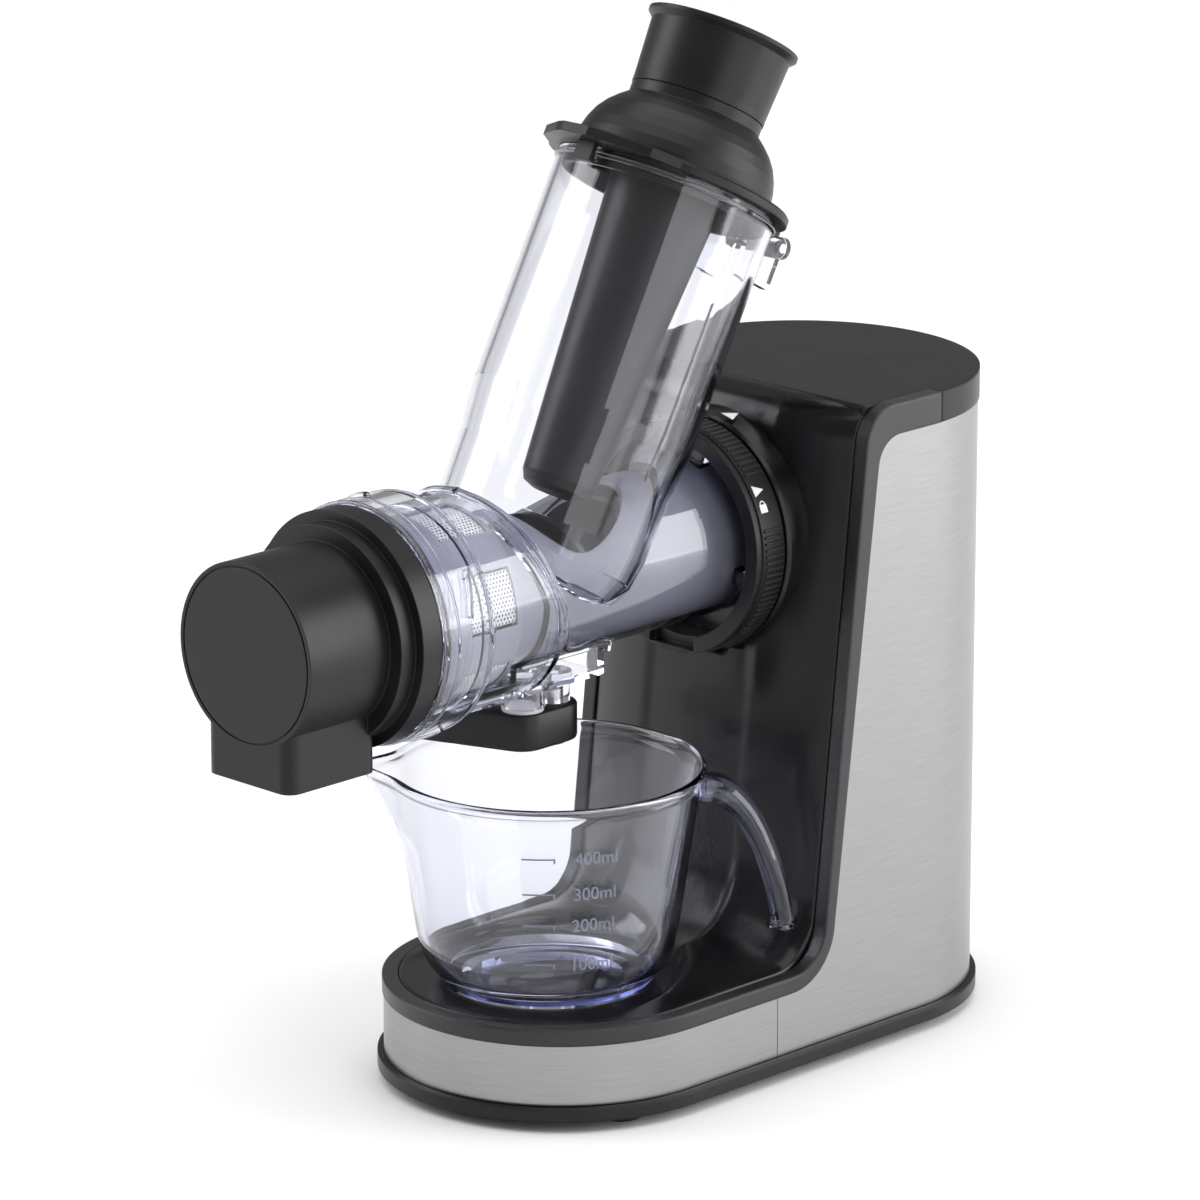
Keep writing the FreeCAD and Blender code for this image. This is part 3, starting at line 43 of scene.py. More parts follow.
PHOTO_AZIMUTH = 44.6                                # degrees, from the front towards the right-hand side
COLOUR_A, COLOUR_B, COLOUR_RESULT = 6, 7, 2         # a mix node's sockets when it blends colours
AXIS_Z = 0.187                                      # height of the drum axis
TUBE_FOOT = Vector((0, -0.0811, AXIS_Z))            # where the feed tube's axis meets the drum axis
TUBE_LEAN = math.radians(29.3)
TUBE_TURN = Matrix.Rotation(-TUBE_LEAN, 4, "X")
JUG_Y = -0.069
JUG_CENTRE = Vector((0, JUG_Y, 0))
JUG_TURN = math.radians(44)                         # the handle's side, from the back towards the right


# ---------------------------------------------------------------- materials

class Look:
    """A procedural material: a principled shader fed by noise in the piece's own coordinates."""

    def __init__(self, name, metallic=0.0, coat=0.0, coat_roughness=0.05):
        self.material = bpy.data.materials.new(name)
        self.material.use_nodes = True
        self.tree = self.material.node_tree
        self.tree.nodes.clear()
        self.output = self.add("ShaderNodeOutputMaterial")
        self.shader = self.add("ShaderNodeBsdfPrincipled")
        self.link(self.shader.outputs["BSDF"], self.output.inputs["Surface"])
        self.shader.inputs["Metallic"].default_value = metallic
        self.shader.inputs["Coat Weight"].default_value = coat
        self.shader.inputs["Coat Roughness"].default_value = coat_roughness
        self.coordinates = self.add("ShaderNodeTexCoord").outputs["Object"]

    def add(self, kind, **settings):
        made = self.tree.nodes.new(kind)
        for field, value in settings.items():
            setattr(made, field, value)
        return made

    def link(self, start, end):
        self.tree.links.new(start, end)

    def noise(self, scale, detail=3.0, stretch=(1, 1, 1)):
        """Noise with this many features in a metre, stretched along the axes."""
        mapping = self.add("ShaderNodeMapping")
        mapping.inputs["Scale"].default_value = stretch
        self.link(self.coordinates, mapping.inputs["Vector"])
        noise = self.add("ShaderNodeTexNoise")
        noise.inputs["Scale"].default_value = scale
        noise.inputs["Detail"].default_value = detail
        self.link(mapping.outputs["Vector"], noise.inputs["Vector"])
        return noise.outputs["Fac"]

    def between(self, factor, low, high, start=0.3, end=0.7):
        """Maps a factor's useful range onto low to high."""
        spread = self.add("ShaderNodeMapRange")
        spread.inputs["From Min"].default_value = start
        spread.inputs["From Max"].default_value = end
        spread.inputs["To Min"].default_value = low
        spread.inputs["To Max"].default_value = high
        self.link(factor, spread.inputs["Value"])
        return spread.outputs["Result"]

    def blend_colours(self, factor, first, second):
        mixer = self.add("ShaderNodeMix", data_type="RGBA")
        mixer.inputs[COLOUR_A].default_value = (*first, 1)
        mixer.inputs[COLOUR_B].default_value = (*second, 1)
        self.link(factor, mixer.inputs["Factor"])
        return mixer.outputs[COLOUR_RESULT]

    def painted_edge_highlight(self, radius, strength):
        """1 on sharp edges, 0 on flats: where a rounded normal leaves the true one. It marks where a lighter colour
        is laid on as a painted highlight.
        """
        rounded = self.add("ShaderNodeBevel", samples=4)
        rounded.inputs["Radius"].default_value = radius
        geometry = self.add("ShaderNodeNewGeometry")
        dot = self.add("ShaderNodeVectorMath", operation="DOT_PRODUCT")
        self.link(rounded.outputs["Normal"], dot.inputs[0])
        self.link(geometry.outputs["Normal"], dot.inputs[1])
        return self.between(dot.outputs["Value"], strength, 0.0, 0.75, 0.99), rounded.outputs["Normal"]

    def bump(self, height, strength, distance, normal=None):
        relief = self.add("ShaderNodeBump")
        relief.inputs["Strength"].default_value = strength
        relief.inputs["Distance"].default_value = distance
        self.link(height, relief.inputs["Height"])
        if normal is not None:
            self.link(normal, relief.inputs["Normal"])
        return relief.outputs["Normal"]


def surface(name, colour, roughness, grain=1400, relief=0.00003, vary=0.12, edge_highlight_strength=0.25, edge=0.0006,
            metallic=0.0, coat=0.0, stretch=(1, 1, 1), strength=0.4, specular=0.5):
    """A solid surface with a fine grain, uneven gloss and a painted highlight that lightens its edges."""
    look = Look(name, metallic, coat)
    cloudy = look.noise(38, 4)
    fine = look.noise(grain, 3, stretch)
    edge_highlight_mask, rounded = look.painted_edge_highlight(edge, edge_highlight_strength)
    darker = tuple(channel * (1 - vary) for channel in colour)
    lighter = tuple(min(1, channel * (1 + vary) + 0.002) for channel in colour)
    body = look.blend_colours(look.between(cloudy, 0, 1), darker, lighter)
    # painted highlight: a lighter colour mixed onto the sharp edges
    edge_highlight_mix = look.add("ShaderNodeMix", data_type="RGBA")
    edge_highlight_mix.inputs[COLOUR_B].default_value = (*(min(1, channel * 1.5 + 0.05) for channel in colour), 1)
    look.link(edge_highlight_mask, edge_highlight_mix.inputs["Factor"])
    look.link(body, edge_highlight_mix.inputs[COLOUR_A])
    look.link(edge_highlight_mix.outputs[COLOUR_RESULT], look.shader.inputs["Base Color"])
    look.link(look.between(cloudy, roughness * 0.9, roughness * 1.1 + 0.01), look.shader.inputs["Roughness"])
    look.link(look.bump(fine, strength, relief, rounded), look.shader.inputs["Normal"])
    look.shader.inputs["Specular IOR Level"].default_value = specular
    return look


def brushed_steel(name):
    """Stainless sheet brushed along the wrap."""
    look = Look(name, metallic=1.0)
    streaks = look.noise(60, 6, (1, 1, 90))
    hair = look.noise(160, 4, (1, 1, 60))
    cloudy = look.noise(14, 3)
    edge_highlight_mask, rounded = look.painted_edge_highlight(0.0004, 0.3)
    body = look.blend_colours(look.between(streaks, 0, 1), (0.3, 0.3, 0.306), (0.36, 0.36, 0.366))
    look.link(body, look.shader.inputs["Base Color"])
    total = look.add("ShaderNodeMath", operation="MULTIPLY_ADD")
    look.link(hair, total.inputs[0])
    total.inputs[1].default_value = 0.5
    look.link(cloudy, total.inputs[2])
    look.link(look.between(total.outputs["Value"], 0.27, 0.36, 0.4, 1.1), look.shader.inputs["Roughness"])
    look.shader.inputs["Anisotropic"].default_value = 0.55
    tangent = look.add("ShaderNodeTangent", direction_type="RADIAL", axis="Z")
    look.link(tangent.outputs["Tangent"], look.shader.inputs["Tangent"])
    look.link(look.bump(streaks, 0.12, 0.00002, rounded), look.shader.inputs["Normal"])
    return look


def clear_plastic(name, tint, roughness=0.02, depth_tint=(0.64, 0.67, 0.9), density=60.0):
    """Clear moulded plastic: soft flow marks, see-through shadows, and a tint that deepens with thickness."""
    look = Look(name)
    flow = look.noise(22, 3)
    haze = look.noise(500, 2)
    look.link(look.blend_colours(look.between(flow, 0, 1), tint, tuple(min(1, c + 0.02) for c in tint)),
              look.shader.inputs["Base Color"])
    look.shader.inputs["Transmission Weight"].default_value = 1
    look.shader.inputs["IOR"].default_value = 1.46
    look.link(look.between(haze, roughness * 0.6, roughness * 1.4), look.shader.inputs["Roughness"])
    look.link(look.bump(flow, 0.06, 0.0006), look.shader.inputs["Normal"])
    passing = look.add("ShaderNodeBsdfTransparent")
    passing.inputs["Color"].default_value = (*(channel * 0.96 for channel in tint), 1)
    path = look.add("ShaderNodeLightPath")
    either = look.add("ShaderNodeMixShader")
    look.link(path.outputs["Is Shadow Ray"], either.inputs[0])
    look.link(look.shader.outputs["BSDF"], either.inputs[1])
    look.link(passing.outputs["BSDF"], either.inputs[2])
    look.link(either.outputs["Shader"], look.output.inputs["Surface"])
    inside = look.add("ShaderNodeVolumeAbsorption")
    inside.inputs["Color"].default_value = (*depth_tint, 1)
    inside.inputs["Density"].default_value = density
    look.link(inside.outputs["Volume"], look.output.inputs["Volume"])
    return look


def smoky_plastic(name, tint):
    """The strainer's moulding: milky round the sieve, and see-through along the throat."""
    look = surface(name, tint, 0.42, grain=900, relief=0.00001, edge_highlight_strength=0.1, specular=0.5)
    passing = look.add("ShaderNodeBsdfTransparent")
    passing.inputs["Color"].default_value = (0.8, 0.8, 0.85, 1)
    parts = look.add("ShaderNodeSeparateXYZ")
    look.link(look.coordinates, parts.inputs["Vector"])
    solid = look.between(parts.outputs["Y"], 0.78, 0.5, -0.122, -0.1)
    either = look.add("ShaderNodeMixShader")
    look.link(solid, either.inputs[0])
    look.link(passing.outputs["BSDF"], either.inputs[1])
    look.link(look.shader.outputs["BSDF"], either.inputs[2])
    look.link(either.outputs["Shader"], look.output.inputs["Surface"])
    return look


def build_looks():
    return {
        "satin_black": surface("satin_black", (0.0055, 0.0055, 0.0062), 0.4, relief=0.00003, specular=0.32),
        "rim_black": surface("rim_black", (0.005, 0.005, 0.0056), 0.36, relief=0.00003, edge=0.002, edge_highlight_strength=0.08,
                             specular=0.32),
        "gloss_black": surface("gloss_black", (0.0035, 0.0035, 0.004), 0.22, relief=0.000004, edge_highlight_strength=0.05,
                               specular=0.3),
        "trim": surface("trim", (0.016, 0.0165, 0.018), 0.34, edge_highlight_strength=0.12, edge=0.0018, specular=0.45),
        "steel": brushed_steel("steel"),
        "rubber": surface("rubber_look", (0.012, 0.012, 0.012), 0.75, grain=2200, relief=0.00008, edge_highlight_strength=0.1),
        "silicone": surface("silicone_look", (0.55, 0.55, 0.58), 0.5, grain=900),
        "clear": clear_plastic("clear_look", (0.95, 0.952, 0.965), density=34.0),
        "jug_clear": clear_plastic("jug_clear_look", (0.92, 0.922, 0.942), density=60.0),
        "sleeve": smoky_plastic("sleeve_look", (0.25, 0.252, 0.3)),
        "mesh": surface("mesh_look", (0.62, 0.62, 0.63), 0.45, grain=3000, edge_highlight_strength=0.1),
        "screw": surface("screw_look", (0.01, 0.01, 0.012), 0.24, edge_highlight_strength=0.15),
        "housing": surface("housing_look", (0.05, 0.05, 0.055), 0.55),
        "machined": surface("machined_look", (0.55, 0.55, 0.56), 0.28, metallic=1.0, grain=900,
                            stretch=(30, 1, 30)),
        "sintered": surface("sintered_look", (0.28, 0.28, 0.29), 0.5, metallic=1.0, grain=2400, relief=0.00006),
        "nylon": surface("nylon_look", (0.7, 0.69, 0.62), 0.45, grain=800),
        "cast": surface("cast_look", (0.42, 0.42, 0.43), 0.55, metallic=1.0, grain=1500, relief=0.0001),
        "plated": surface("plated_look", (0.5, 0.51, 0.52), 0.32, metallic=1.0, grain=1200),
        "ferrite": surface("ferrite_look", (0.05, 0.05, 0.052), 0.6, grain=2600, relief=0.00006),
        "board": surface("board_look", (0.02, 0.13, 0.05), 0.3, grain=600, coat=0.4),
        "switch": surface("switch_look", (0.6, 0.6, 0.6), 0.45),
        "bronze": surface("bronze_look", (0.5, 0.32, 0.14), 0.4, metallic=1.0, grain=2000),
        "print": surface("print_look", (0.82, 0.82, 0.82), 0.5, grain=1800, edge_highlight_strength=0.05),
        "etched": surface("etched_look", (0.2, 0.21, 0.27), 0.5, grain=1800, edge_highlight_strength=0.05),
    }


LOOKS = build_looks()
CAD_LOOKS = {
    "satin_black": ["lid", "lid_catch", "pusher", "pulp_cap", "lock_ring", "drip_lever", "switch_frame",
                    "power_rocker", "cord_inlet"],
    "rim_black": ["base_plate", "top_cover"],
    "gloss_black": ["front_panel", "jug_tray", "neck_collar"],
    "trim": ["edge_trim"],
    "steel": ["steel_side_wrap", "steel_front_band"],
    "rubber": ["rubber_feet"],
    "silicone": ["drum_seal", "drip_seal"],
    "clear": ["drum"],
    "jug_clear": ["jug"],
    "sleeve": ["strainer_basket"],
    "mesh": ["strainer_mesh"],
    "screw": ["pressing_screw"],
    "housing": ["inner_housing"],
    "machined": ["output_shaft", "front_bearing", "rear_bearing", "idler_pin", "motor_rotor", "lid_hinge_pin",
                 "lever_pin", "base_screws"],
    "sintered": ["output_gear", "motor_pinion"],
    "nylon": ["idler_gear", "cooling_fan"],
    "cast": ["gearbox_case", "gearbox_cover"],
    "plated": ["motor_can", "motor_end_bell"],
    "ferrite": ["motor_stator"],
    "board": ["circuit_board"],
    "switch": ["interlock_switch"],
    "bronze": ["screw_end_bush"],
}


def paint(piece, look):
    piece.data.materials.clear()
    piece.data.materials.append(LOOKS[look].material)


for look, nodes in CAD_LOOKS.items():
    for name in nodes:
        paint(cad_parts[name], look)


# ---------------------------------------------------------------- pieces

def new_piece(name, shape, look, body, smooth=True):
    """Turns a bmesh into a painted piece that rides on a body."""
    mesh = bpy.data.meshes.new(name)
    bmesh.ops.recalc_face_normals(shape, faces=shape.faces)
    shape.to_mesh(mesh)
    shape.free()
    for polygon in mesh.polygons:
        polygon.use_smooth = smooth
    piece = bpy.data.objects.new(name, mesh)
    bpy.context.scene.collection.objects.link(piece)
    paint(piece, look)
    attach(piece, body)
    return piece


def smooth_step(value):
    value = min(max(value, 0.0), 1.0)
    return value * value * (3 - 2 * value)


def quads(shape, rows, closed=False):
    """Faces between neighbouring rows of vertices; closed joins the ends of each row."""
    for row, following in zip(rows, rows[1:]):
        count = len(row)
        for index in range(count if closed else count - 1):
            after = (index + 1) % count
            shape.faces.new((row[index], row[after], following[after], following[index]))


def swept(name, path, radius, look, body, section=12, taper=None, squash=1.0):
    """A round bar along a smooth path, closed at both ends."""
    shape = bmesh.new()
    spots = [Vector(spot) for spot in path]
    rows = []
    for index, spot in enumerate(spots):
        before = spots[max(index - 1, 0)]
        after = spots[min(index + 1, len(spots) - 1)]
        along = (after - before).normalized()
        side = along.cross(Vector((0, 0, 1)))
        side = side.normalized() if side.length > 0.05 else along.cross(Vector((1, 0, 0))).normalized()
        up = side.cross(along)
        size = radius * (taper(index / (len(spots) - 1)) if taper else 1)
        rows.append([shape.verts.new(spot + size * (math.cos(turn) * side + squash * math.sin(turn) * up))
                     for turn in (2 * math.pi * step / section for step in range(section))])
    quads(shape, rows, closed=True)
    shape.faces.new(list(reversed(rows[0])))
    shape.faces.new(rows[-1])
    return new_piece(name, shape, look, body)


def curve_through(spots, steps=10):
    """A Catmull-Rom curve through the given spots."""
    spots = [Vector(spot) for spot in spots]
    padded = [spots[0] * 2 - spots[1], *spots, spots[-1] * 2 - spots[-2]]
    made = []
    for a, b, c, d in zip(padded, padded[1:], padded[2:], padded[3:]):
        for step in range(steps):
            t = step / steps
            made.append(0.5 * (2 * b + (c - a) * t + (2 * a - 5 * b + 4 * c - d) * t * t
                               + (3 * b - a - 3 * c + d) * t ** 3))
    made.append(spots[-1])
    return made


# The jug's profile, in mm: (radius, height) up the outside, then down the inside.
JUG_OUTSIDE = [(0.0, 39.3), (35.4, 39.3), (36.2, 38.2), (38.1, 38.1), (38.5, 40.4), (41.2, 42.6), (43.6, 46),
               (45.6, 51), (47.1, 58), (48.6, 68), (50.2, 80), (52, 92), (53.6, 103), (54.7, 110), (55.2, 113),
               (56.3, 113.6), (56.7, 115), (56.3, 116.4), (55.3, 116.9)]
JUG_INSIDE = [(54.2, 116.4), (53.7, 115), (53.1, 112), (51.6, 103), (49.9, 92), (48, 80), (46.3, 68), (44.7, 58),
              (43, 51), (41, 46.6), (38.4, 43.4), (34.5, 41.9), (0.0, 41.7)]
SPOUT_WIDTH = 11                                    # degrees to either side of the spout's middle
SPOUT_FOOT, SPOUT_RISE, SPOUT_REACH = 86, 30, 9.4   # mm: where it starts, how far up it grows, how far out
GRADUATIONS = ((400, 98.3), (300, 84.8), (200, 72.8), (100, 57.8))  # (ml, height in mm)
WALL_LEVEL, WALL_RADIUS, WALL_SLOPE = 58, 0.0481, 0.000136  # mm, the wall's radius there, its growth a mm


def jug():
    """The graduated jug: a turned bowl whose rim is drawn out to a spout, with a hook handle."""
    shape = bmesh.new()
    around = 144
    rows = []
    for radius, height in JUG_OUTSIDE + JUG_INSIDE:
        row = []
        for step in range(around):
            turn = 2 * math.pi * step / around
            outward = Vector((math.sin(turn), math.cos(turn), 0))
            from_spout = math.degrees(turn - JUG_TURN) % 360 - 180
            pull = math.exp(-(from_spout / SPOUT_WIDTH) ** 2) * smooth_step((height - SPOUT_FOOT) / SPOUT_RISE)
            wide = radius + SPOUT_REACH * pull if radius > 1 else radius
            spot = outward * max(wide, 0.05) + Vector((0, 0, height + pull))
            row.append(shape.verts.new(JUG_CENTRE + spot * MM))
        rows.append(row)
    quads(shape, rows, closed=True)
    shape.faces.new(list(reversed(rows[0])))
    shape.faces.new(rows[-1])
    bowl = new_piece("jug_bowl", shape, "jug_clear", "jug")
    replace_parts(bowl, "jug")
    outward = Vector((math.sin(JUG_TURN), math.cos(JUG_TURN), 0))
    line = [(54, 108), (60, 107.5), (66, 103.5), (71.5, 96.5), (76.4, 86.5), (80.2, 75), (82.6, 65), (83.6, 57.5),
            (83.4, 55)]
    path = [JUG_CENTRE + (outward * out + Vector((0, 0, up))) * MM for out, up in line]
    handle = swept("jug_handle", curve_through(path, 6), 0.0078, "jug_clear", "jug", 20,
                   taper=lambda part: 1.1 - 0.25 * smooth_step(part * 1.4) - 0.6 * smooth_step((part - 0.93) / 0.07),
                   squash=0.62)
    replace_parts(handle, "jug")
    facing = math.radians(180 - PHOTO_AZIMUTH)
    for number, (millilitres, height) in enumerate(GRADUATIONS):
        radius = WALL_RADIUS + (height - WALL_LEVEL) * WALL_SLOPE
        jug_line(f"jug_line{number}", radius, height * MM, facing + 0.16, facing - 0.06)
        jug_number(f"jug_number{number}", f"{millilitres}ml", radius, height * MM, facing - 0.33)


def jug_line(name, radius, height, start, end):
    """A raised graduation line on the jug's wall, with a short foot at its end."""
    shape = bmesh.new()
    for low, high, near, far in ((0, 0.0005, start, end), (-0.0012, 0, end + 0.012, end)):
        rows = []
        for reach in (0.0002, 0.00055):
            for level in ((low, high) if reach < 0.0004 else (high, low)):
                rows.append([shape.verts.new(JUG_CENTRE + Vector((
                    math.sin(turn) * (radius + reach), math.cos(turn) * (radius + reach), height + level)))
                    for turn in (near + (far - near) * step / 8 for step in range(9))])
        quads(shape, rows + rows[:1])
        shape.faces.new([row[0] for row in rows])
        shape.faces.new([row[-1] for row in reversed(rows)])
    new_piece(name, shape, "etched", "jug", smooth=False)


def jug_number(name, words, radius, height, turn):
    """A raised graduation number, set on the jug's wall."""
    text = bpy.data.curves.new(name, "FONT")
    text.body = words
    text.size = 0.0064
    text.extrude = 0.00012
    text.align_x = "CENTER"
    text.align_y = "CENTER"
    piece = bpy.data.objects.new(name, text)
    bpy.context.scene.collection.objects.link(piece)
    outward = Vector((math.sin(turn), math.cos(turn), 0))
    piece.location = JUG_CENTRE + outward * (radius + 0.0006) + Vector((0, 0, height))
    piece.rotation_euler = (math.pi / 2, 0, math.atan2(outward.x, -outward.y))
    piece.data.materials.append(LOOKS["etched"].material)
    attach(piece, "jug")


def drum_spot(radius, turn, y):
    """A spot round the drum axis: turn is up from the right-hand side."""
    return Vector((radius * math.cos(turn), y, AXIS_Z + radius * math.sin(turn)))


def strainer_windows():
    """The perforated sheets in the strainer's windows."""
    shape = bmesh.new()
    radius, pitch, hole = 0.0322, 0.00155, 0.00048
    for window in range(6):
        middle = math.radians(14 - 60 * window)
        for column in range(15):
            for row in range(13):
                y = -0.1396 + (column + 0.5 * (row % 2) + 0.5) * pitch
                turn = middle + (row - 6) * pitch * 0.92 / radius
                perforated_cell(shape, radius, turn, y, pitch, hole)
    bmesh.ops.remove_doubles(shape, verts=shape.verts, dist=0.00002)
    sheets = new_piece("strainer_sheets", shape, "mesh", "base", smooth=False)
    thick = sheets.modifiers.new("sheet_thickness", "SOLIDIFY")
    thick.thickness = 0.0002
    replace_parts(sheets, "strainer_mesh")


def perforated_cell(shape, radius, turn, y, pitch, hole):
    """A six-sided cell of sheet with a six-sided hole in it."""
    rings = []
    for size in (pitch / math.sqrt(3), hole):
        rings.append([shape.verts.new(drum_spot(radius, turn + size * math.sin(angle) / radius,
                                                y + size * math.cos(angle)))
                      for angle in (math.pi / 6 + math.pi / 3 * corner for corner in range(6))])
    quads(shape, rings, closed=True)


RING_RIBS = 112
MARKS_MIDDLE, MARKS_HALF = 28, 13                   # degrees: the plain stretch that holds the printed marks
ARROW_TURN, LOCK_TURN = math.radians(33), math.radians(24)
RING_RADIUS, RING_MARK_Y = 0.04215, 0.001


def lock_ring_details():
    """Knurling, and the printed arrow and padlock, on the lock ring."""
    shape = bmesh.new()
    for rib in range(RING_RIBS):
        turn = 2 * math.pi * rib / RING_RIBS
        if abs((math.degrees(turn) + 180) % 360 - 180 - MARKS_MIDDLE) < MARKS_HALF:
            continue
        corners = []
        for y in (-0.0012, 0.0076):
            for reach, wide in ((0.0418, 0.0007), (0.0427, 0.0003), (0.0427, -0.0003), (0.0418, -0.0007)):
                corners.append(shape.verts.new(drum_spot(reach, turn + wide / reach, y)))
        near, far = corners[:4], corners[4:]
        shape.faces.new(near)
        shape.faces.new(list(reversed(far)))
        for index in range(4):
            after = (index + 1) % 4
            shape.faces.new((near[after], near[index], far[index], far[after]))
    new_piece("lock_ring_knurl", shape, "trim", "ring", smooth=False)
    arrow = [(0.003, 0.0), (-0.002, 0.0022), (-0.002, -0.0022)]
    printed("ring_arrow", arrow, RING_RADIUS, ARROW_TURN, RING_MARK_Y, "ring")
    lock = [(-0.0017, -0.0017), (0.0017, -0.0017), (0.0017, 0.0014), (-0.0017, 0.0014)]
    printed("ring_lock", lock, RING_RADIUS, LOCK_TURN, RING_MARK_Y, "ring")
    shackle = [(math.cos(angle) * size, 0.0014 + math.sin(angle) * size) for size, sweep in
               ((0.0014, range(0, 181, 30)), (0.0009, range(180, -1, -30))) for angle in map(math.radians, sweep)]
    printed("ring_shackle", shackle, RING_RADIUS, LOCK_TURN, RING_MARK_Y, "ring")


def printed(name, outline, radius, turn, y, body):
    """A thin printed mark round the drum axis: the outline is (along the axis, round it)."""
    shape = bmesh.new()
    rows = [[shape.verts.new(drum_spot(reach, turn + round_it / radius, y + along)) for along, round_it in outline]
            for reach in (radius, radius + 0.00012)]
    quads(shape, rows, closed=True)
    shape.faces.new(list(reversed(rows[0])))
    shape.faces.new(rows[1])
    new_piece(name, shape, "print", body, smooth=False)


def drum_edges():
    """The moulded beads along the clear drum's edges."""
    for side in (-1, 1):
        line = [(0, -0.1125, 0.2252), (side * 0.014, -0.1115, 0.2228), (side * 0.026, -0.108, 0.2155),
                (side * 0.0345, -0.1035, 0.203), (side * 0.0372, -0.099, 0.1895), (side * 0.0355, -0.0955, 0.178),
                (side * 0.031, -0.091, 0.1705), (side * 0.0255, -0.079, 0.167), (side * 0.0203, -0.066, 0.1657),
                (side * 0.0162, -0.0555, 0.1648), (side * 0.0145, -0.0525, 0.1625), (side * 0.0145, -0.0535, 0.158)]
        swept(f"drum_lip_{'right' if side > 0 else 'left'}", curve_through(line, 8), 0.0013, "clear", "base", 10)
    for number, y in enumerate((-0.1585, -0.153, -0.1375)):
        ring = [drum_spot(0.0424, 2 * math.pi * step / 96, y) for step in range(97)]
        swept(f"collar_bead{number}", ring, 0.0006, "clear", "base", 8)
    for number in range(4):
        middle = math.radians(22 + 90 * number)
        ledge = [drum_spot(0.0428, middle + math.radians(step * 2.2 - 11), -0.1475 + 0.0004 * step)
                 for step in range(11)]
        swept(f"collar_ledge{number}", ledge, 0.0011, "clear", "base", 8)
    ring = [tube_spot(0.0405 * math.cos(turn), 0.0405 * math.sin(turn), 0.1455)
            for turn in (2 * math.pi * step / 96 for step in range(97))]
    swept("tube_bead0", ring, 0.0009, "clear", "base", 8)


def tube_spot(x, behind, along):
    """A spot in the feed tube's own frame."""
    return TUBE_FOOT + TUBE_TURN.to_3x3() @ Vector((x, behind, along))


PANEL_HALF = 0.0581
PANEL_TOP = 0.2394
PANEL_LEAN = 0.11                                   # how far the tower's face runs back for each metre up
CROWN_POWER = 2.6                                   # how square the bulge across the panel is
TRIM_LEVEL, RECESS_LEVEL, SWELL = 0.0375, 0.0376, 0.0098
RECESS_RADIUS, RECESS_SLOPE = 0.0455, 0.004


def panel_height(x, y):
    """The foot's surface: the trim's level at the edges, swelling towards the tower, with the jug's recess."""
    across = 1 - abs(x / PANEL_HALF) ** CROWN_POWER
    swell = TRIM_LEVEL + SWELL * across * smooth_step((y + 0.105) / 0.075)
    reach = math.hypot(x, max(y - JUG_Y, 0))
    inside = 1 - smooth_step((reach - RECESS_RADIUS) / RECESS_SLOPE)
    return swell + (RECESS_LEVEL - swell) * inside


def front_panel():
    """The black front: one skin over the foot, up the tower and over its top edge."""
    shape = bmesh.new()
    columns = 72
    rows = []
    for step in range(columns + 1):
        x = -PANEL_HALF + 2 * PANEL_HALF * step / columns
        crown = 1 - abs(x / PANEL_HALF) ** CROWN_POWER
        front = -0.062 - math.sqrt(max(PANEL_HALF ** 2 - x * x, 0.0))
        corner_y = 0.0068 - 0.0095 * crown
        sweep = 0.016 + 0.012 * crown
        spots = []
        for part in range(40):
            y = front + (corner_y - sweep - front) * part / 39
            spots.append((y, panel_height(x, y)))
        level = spots[-1][1]
        for part in range(1, 13):
            angle = math.pi / 2 * part / 12
            spots.append((corner_y - sweep + sweep * math.sin(angle) + PANEL_LEAN * sweep * (part / 12) ** 3,
                          level + sweep * (1 - math.cos(angle))))
        low_y, low_z = spots[-1]
        top_round = 0.013
        high_z = PANEL_TOP - top_round
        for part in range(1, 41):
            z = low_z + (high_z - low_z) * part / 40
            spots.append((low_y + PANEL_LEAN * (z - low_z), z))
        turn_y, turn_z = spots[-1]
        for part in range(1, 13):
            angle = math.pi / 2 * part / 12
            spots.append((turn_y + top_round * (1 - math.cos(angle)), turn_z + top_round * math.sin(angle)))
        last = spots[-1][0]
        for part in range(1, 11):
            spots.append((last + (0.0655 - last) * part / 10, PANEL_TOP))
        rows.append([shape.verts.new((x, y, z)) for y, z in spots])
    quads(shape, rows)
    hidden = [face for face in shape.faces
              if math.hypot(face.calc_center_median().x, face.calc_center_median().z - AXIS_Z) < 0.041
              and face.calc_center_median().y < 0.06]
    bmesh.ops.delete(shape, geom=hidden, context="FACES")
    skin = new_piece("front_skin", shape, "gloss_black", "base")
    thick = skin.modifiers.new("skin_thickness", "SOLIDIFY")
    thick.thickness = 0.0016
    thick.offset = -1
    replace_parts(skin, "front_panel", "jug_tray")


def drip_lever():
    """The lever under the spout: one block round its pivot, its sealing pad and its tip."""
    low, high = 0.126, 0.1395
    rim = []
    for x, y, radius in ((0, -0.066, 0.0086), (0, -0.081, 0.0086), (-0.0415, -0.097, 0.008)):
        for step in range(32):
            turn = 2 * math.pi * step / 32
            rim.append(Vector((x + radius * math.cos(turn), y + radius * math.sin(turn))))
    rim = [rim[index] for index in convex_hull_2d(rim)]
    middle = sum(rim, Vector((0, 0))) / len(rim)
    shape = bmesh.new()
    rows = []
    for shrink, level in ((0.94, low), (0.975, low + 0.0002), (0.992, low + 0.0006), (1, low + 0.0014),
                          (1, high - 0.0008), (0.985, high)):
        rows.append([shape.verts.new((*(middle + (spot - middle) * shrink), level)) for spot in rim])
    quads(shape, rows, closed=True)
    shape.faces.new(list(reversed(rows[0])))
    shape.faces.new(rows[-1])
    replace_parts(new_piece("drip_lever_block", shape, "satin_black", "lever"), "drip_lever")


jug()
drip_lever()
strainer_windows()
lock_ring_details()
drum_edges()
front_panel()
printed("neck_arrow", [(0.003, 0.0), (-0.003, 0.003), (-0.003, -0.003)], 0.0452, math.radians(76), 0.014, "base")

# ---------------------------------------------------------------- studio

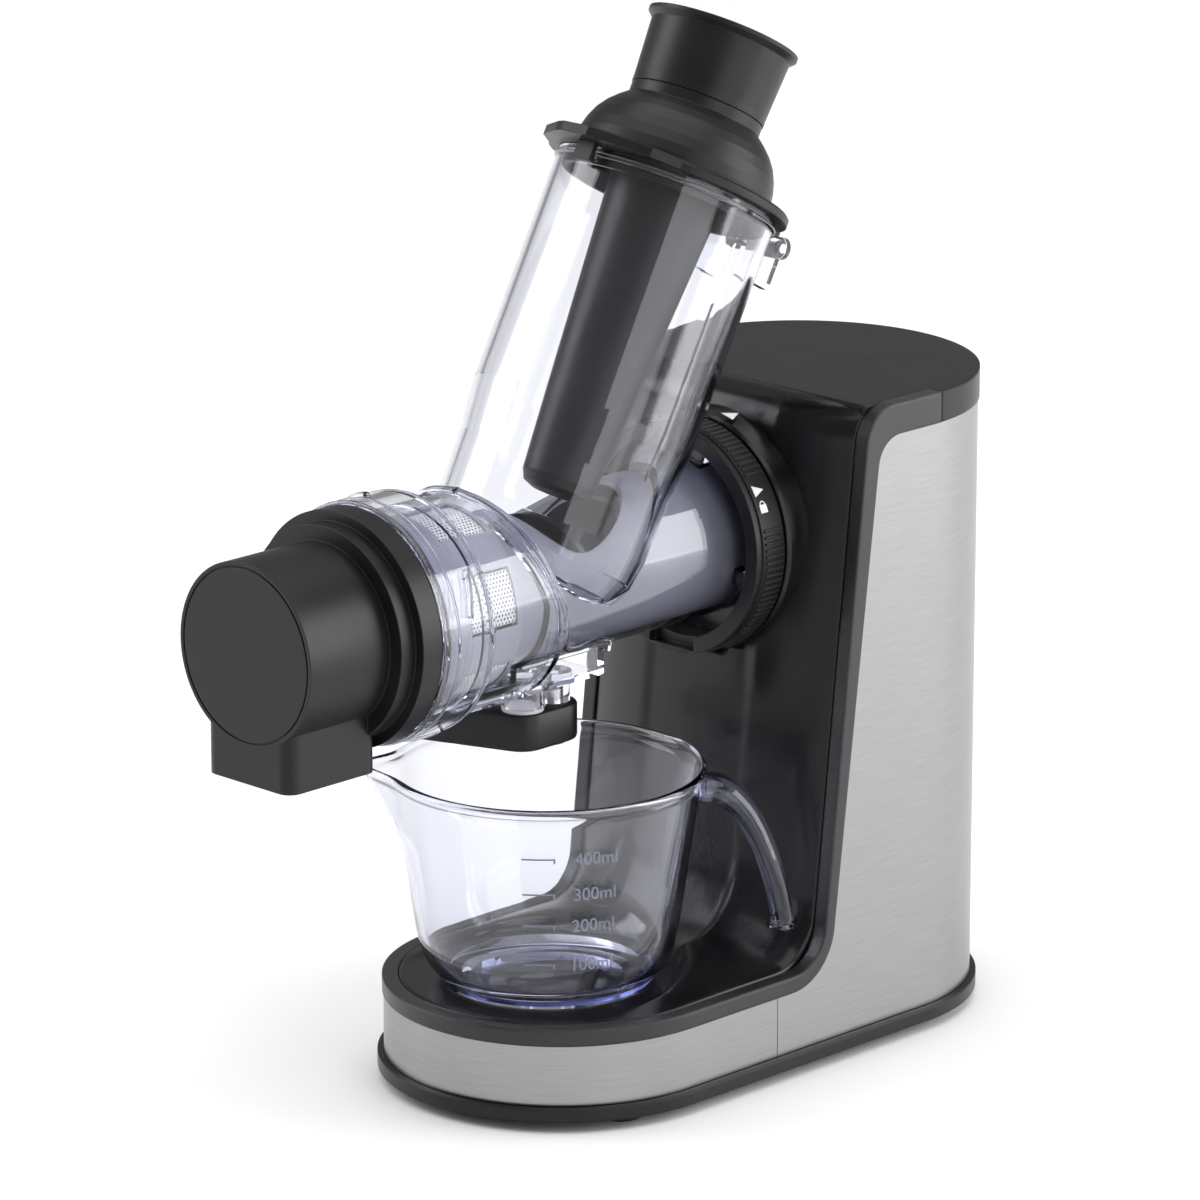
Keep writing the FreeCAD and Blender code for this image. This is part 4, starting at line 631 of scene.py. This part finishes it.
def area_light(name, place, target, size, power):
    lamp = bpy.data.lights.new(name, "AREA")
    lamp.shape = "RECTANGLE"
    lamp.size, lamp.size_y = size
    lamp.energy = power
    holder = bpy.data.objects.new(name, lamp)
    bpy.context.scene.collection.objects.link(holder)
    holder.location = place
    holder.rotation_euler = (Vector(target) - Vector(place)).to_track_quat("-Z", "Y").to_euler()


def studio():
    mesh = bpy.data.meshes.new("studio_floor")
    shape = bmesh.new()
    bmesh.ops.create_grid(shape, x_segments=24, y_segments=24, size=6)
    shape.to_mesh(mesh)
    shape.free()
    floor = bpy.data.objects.new("studio_floor", mesh)
    bpy.context.scene.collection.objects.link(floor)
    look = Look("studio_floor_look")
    look.link(look.blend_colours(look.noise(3, 3), (0.9, 0.9, 0.9), (0.93, 0.93, 0.93)),
              look.shader.inputs["Base Color"])
    look.shader.inputs["Roughness"].default_value = 0.55
    floor.data.materials.append(look.material)

    world = bpy.data.worlds.new("studio_world")
    world.use_nodes = True
    world.node_tree.nodes["Background"].inputs["Color"].default_value = (1, 1, 1, 1)
    world.node_tree.nodes["Background"].inputs["Strength"].default_value = 0.3
    bpy.context.scene.world = world

    middle = (0, -0.04, 0.18)
    area_light("key_left", (-1.7, -1.2, 1.2), middle, (1.2, 1.6), 24)
    area_light("fill_right", (2.0, -0.2, 0.7), middle, (1.3, 1.6), 12)
    area_light("rear_right", (1.6, 1.6, 0.8), middle, (1.7, 1.7), 44)
    sun = bpy.data.lights.new("sky_light", "SUN")
    sun.energy = 2.15
    sun.angle = math.radians(75)
    bpy.context.scene.collection.objects.link(bpy.data.objects.new("sky_light", sun))


def camera():
    data = bpy.data.cameras.new("photo_camera")
    data.lens = 210
    data.sensor_width = 36
    data.clip_end = 50
    holder = bpy.data.objects.new("photo_camera", data)
    bpy.context.scene.collection.objects.link(holder)
    azimuth, elevation, distance = math.radians(PHOTO_AZIMUTH), math.radians(16.1), 2.48
    back = Vector((math.sin(azimuth) * math.cos(elevation), -math.cos(azimuth) * math.cos(elevation),
                   math.sin(elevation)))
    holder.location = Vector((0, -0.0423, 0.1715)) + distance * back
    holder.rotation_euler = (-back).to_track_quat("-Z", "Y").to_euler()
    bpy.context.scene.camera = holder


studio()
camera()
bpy.context.scene.view_settings.view_transform = "Standard"
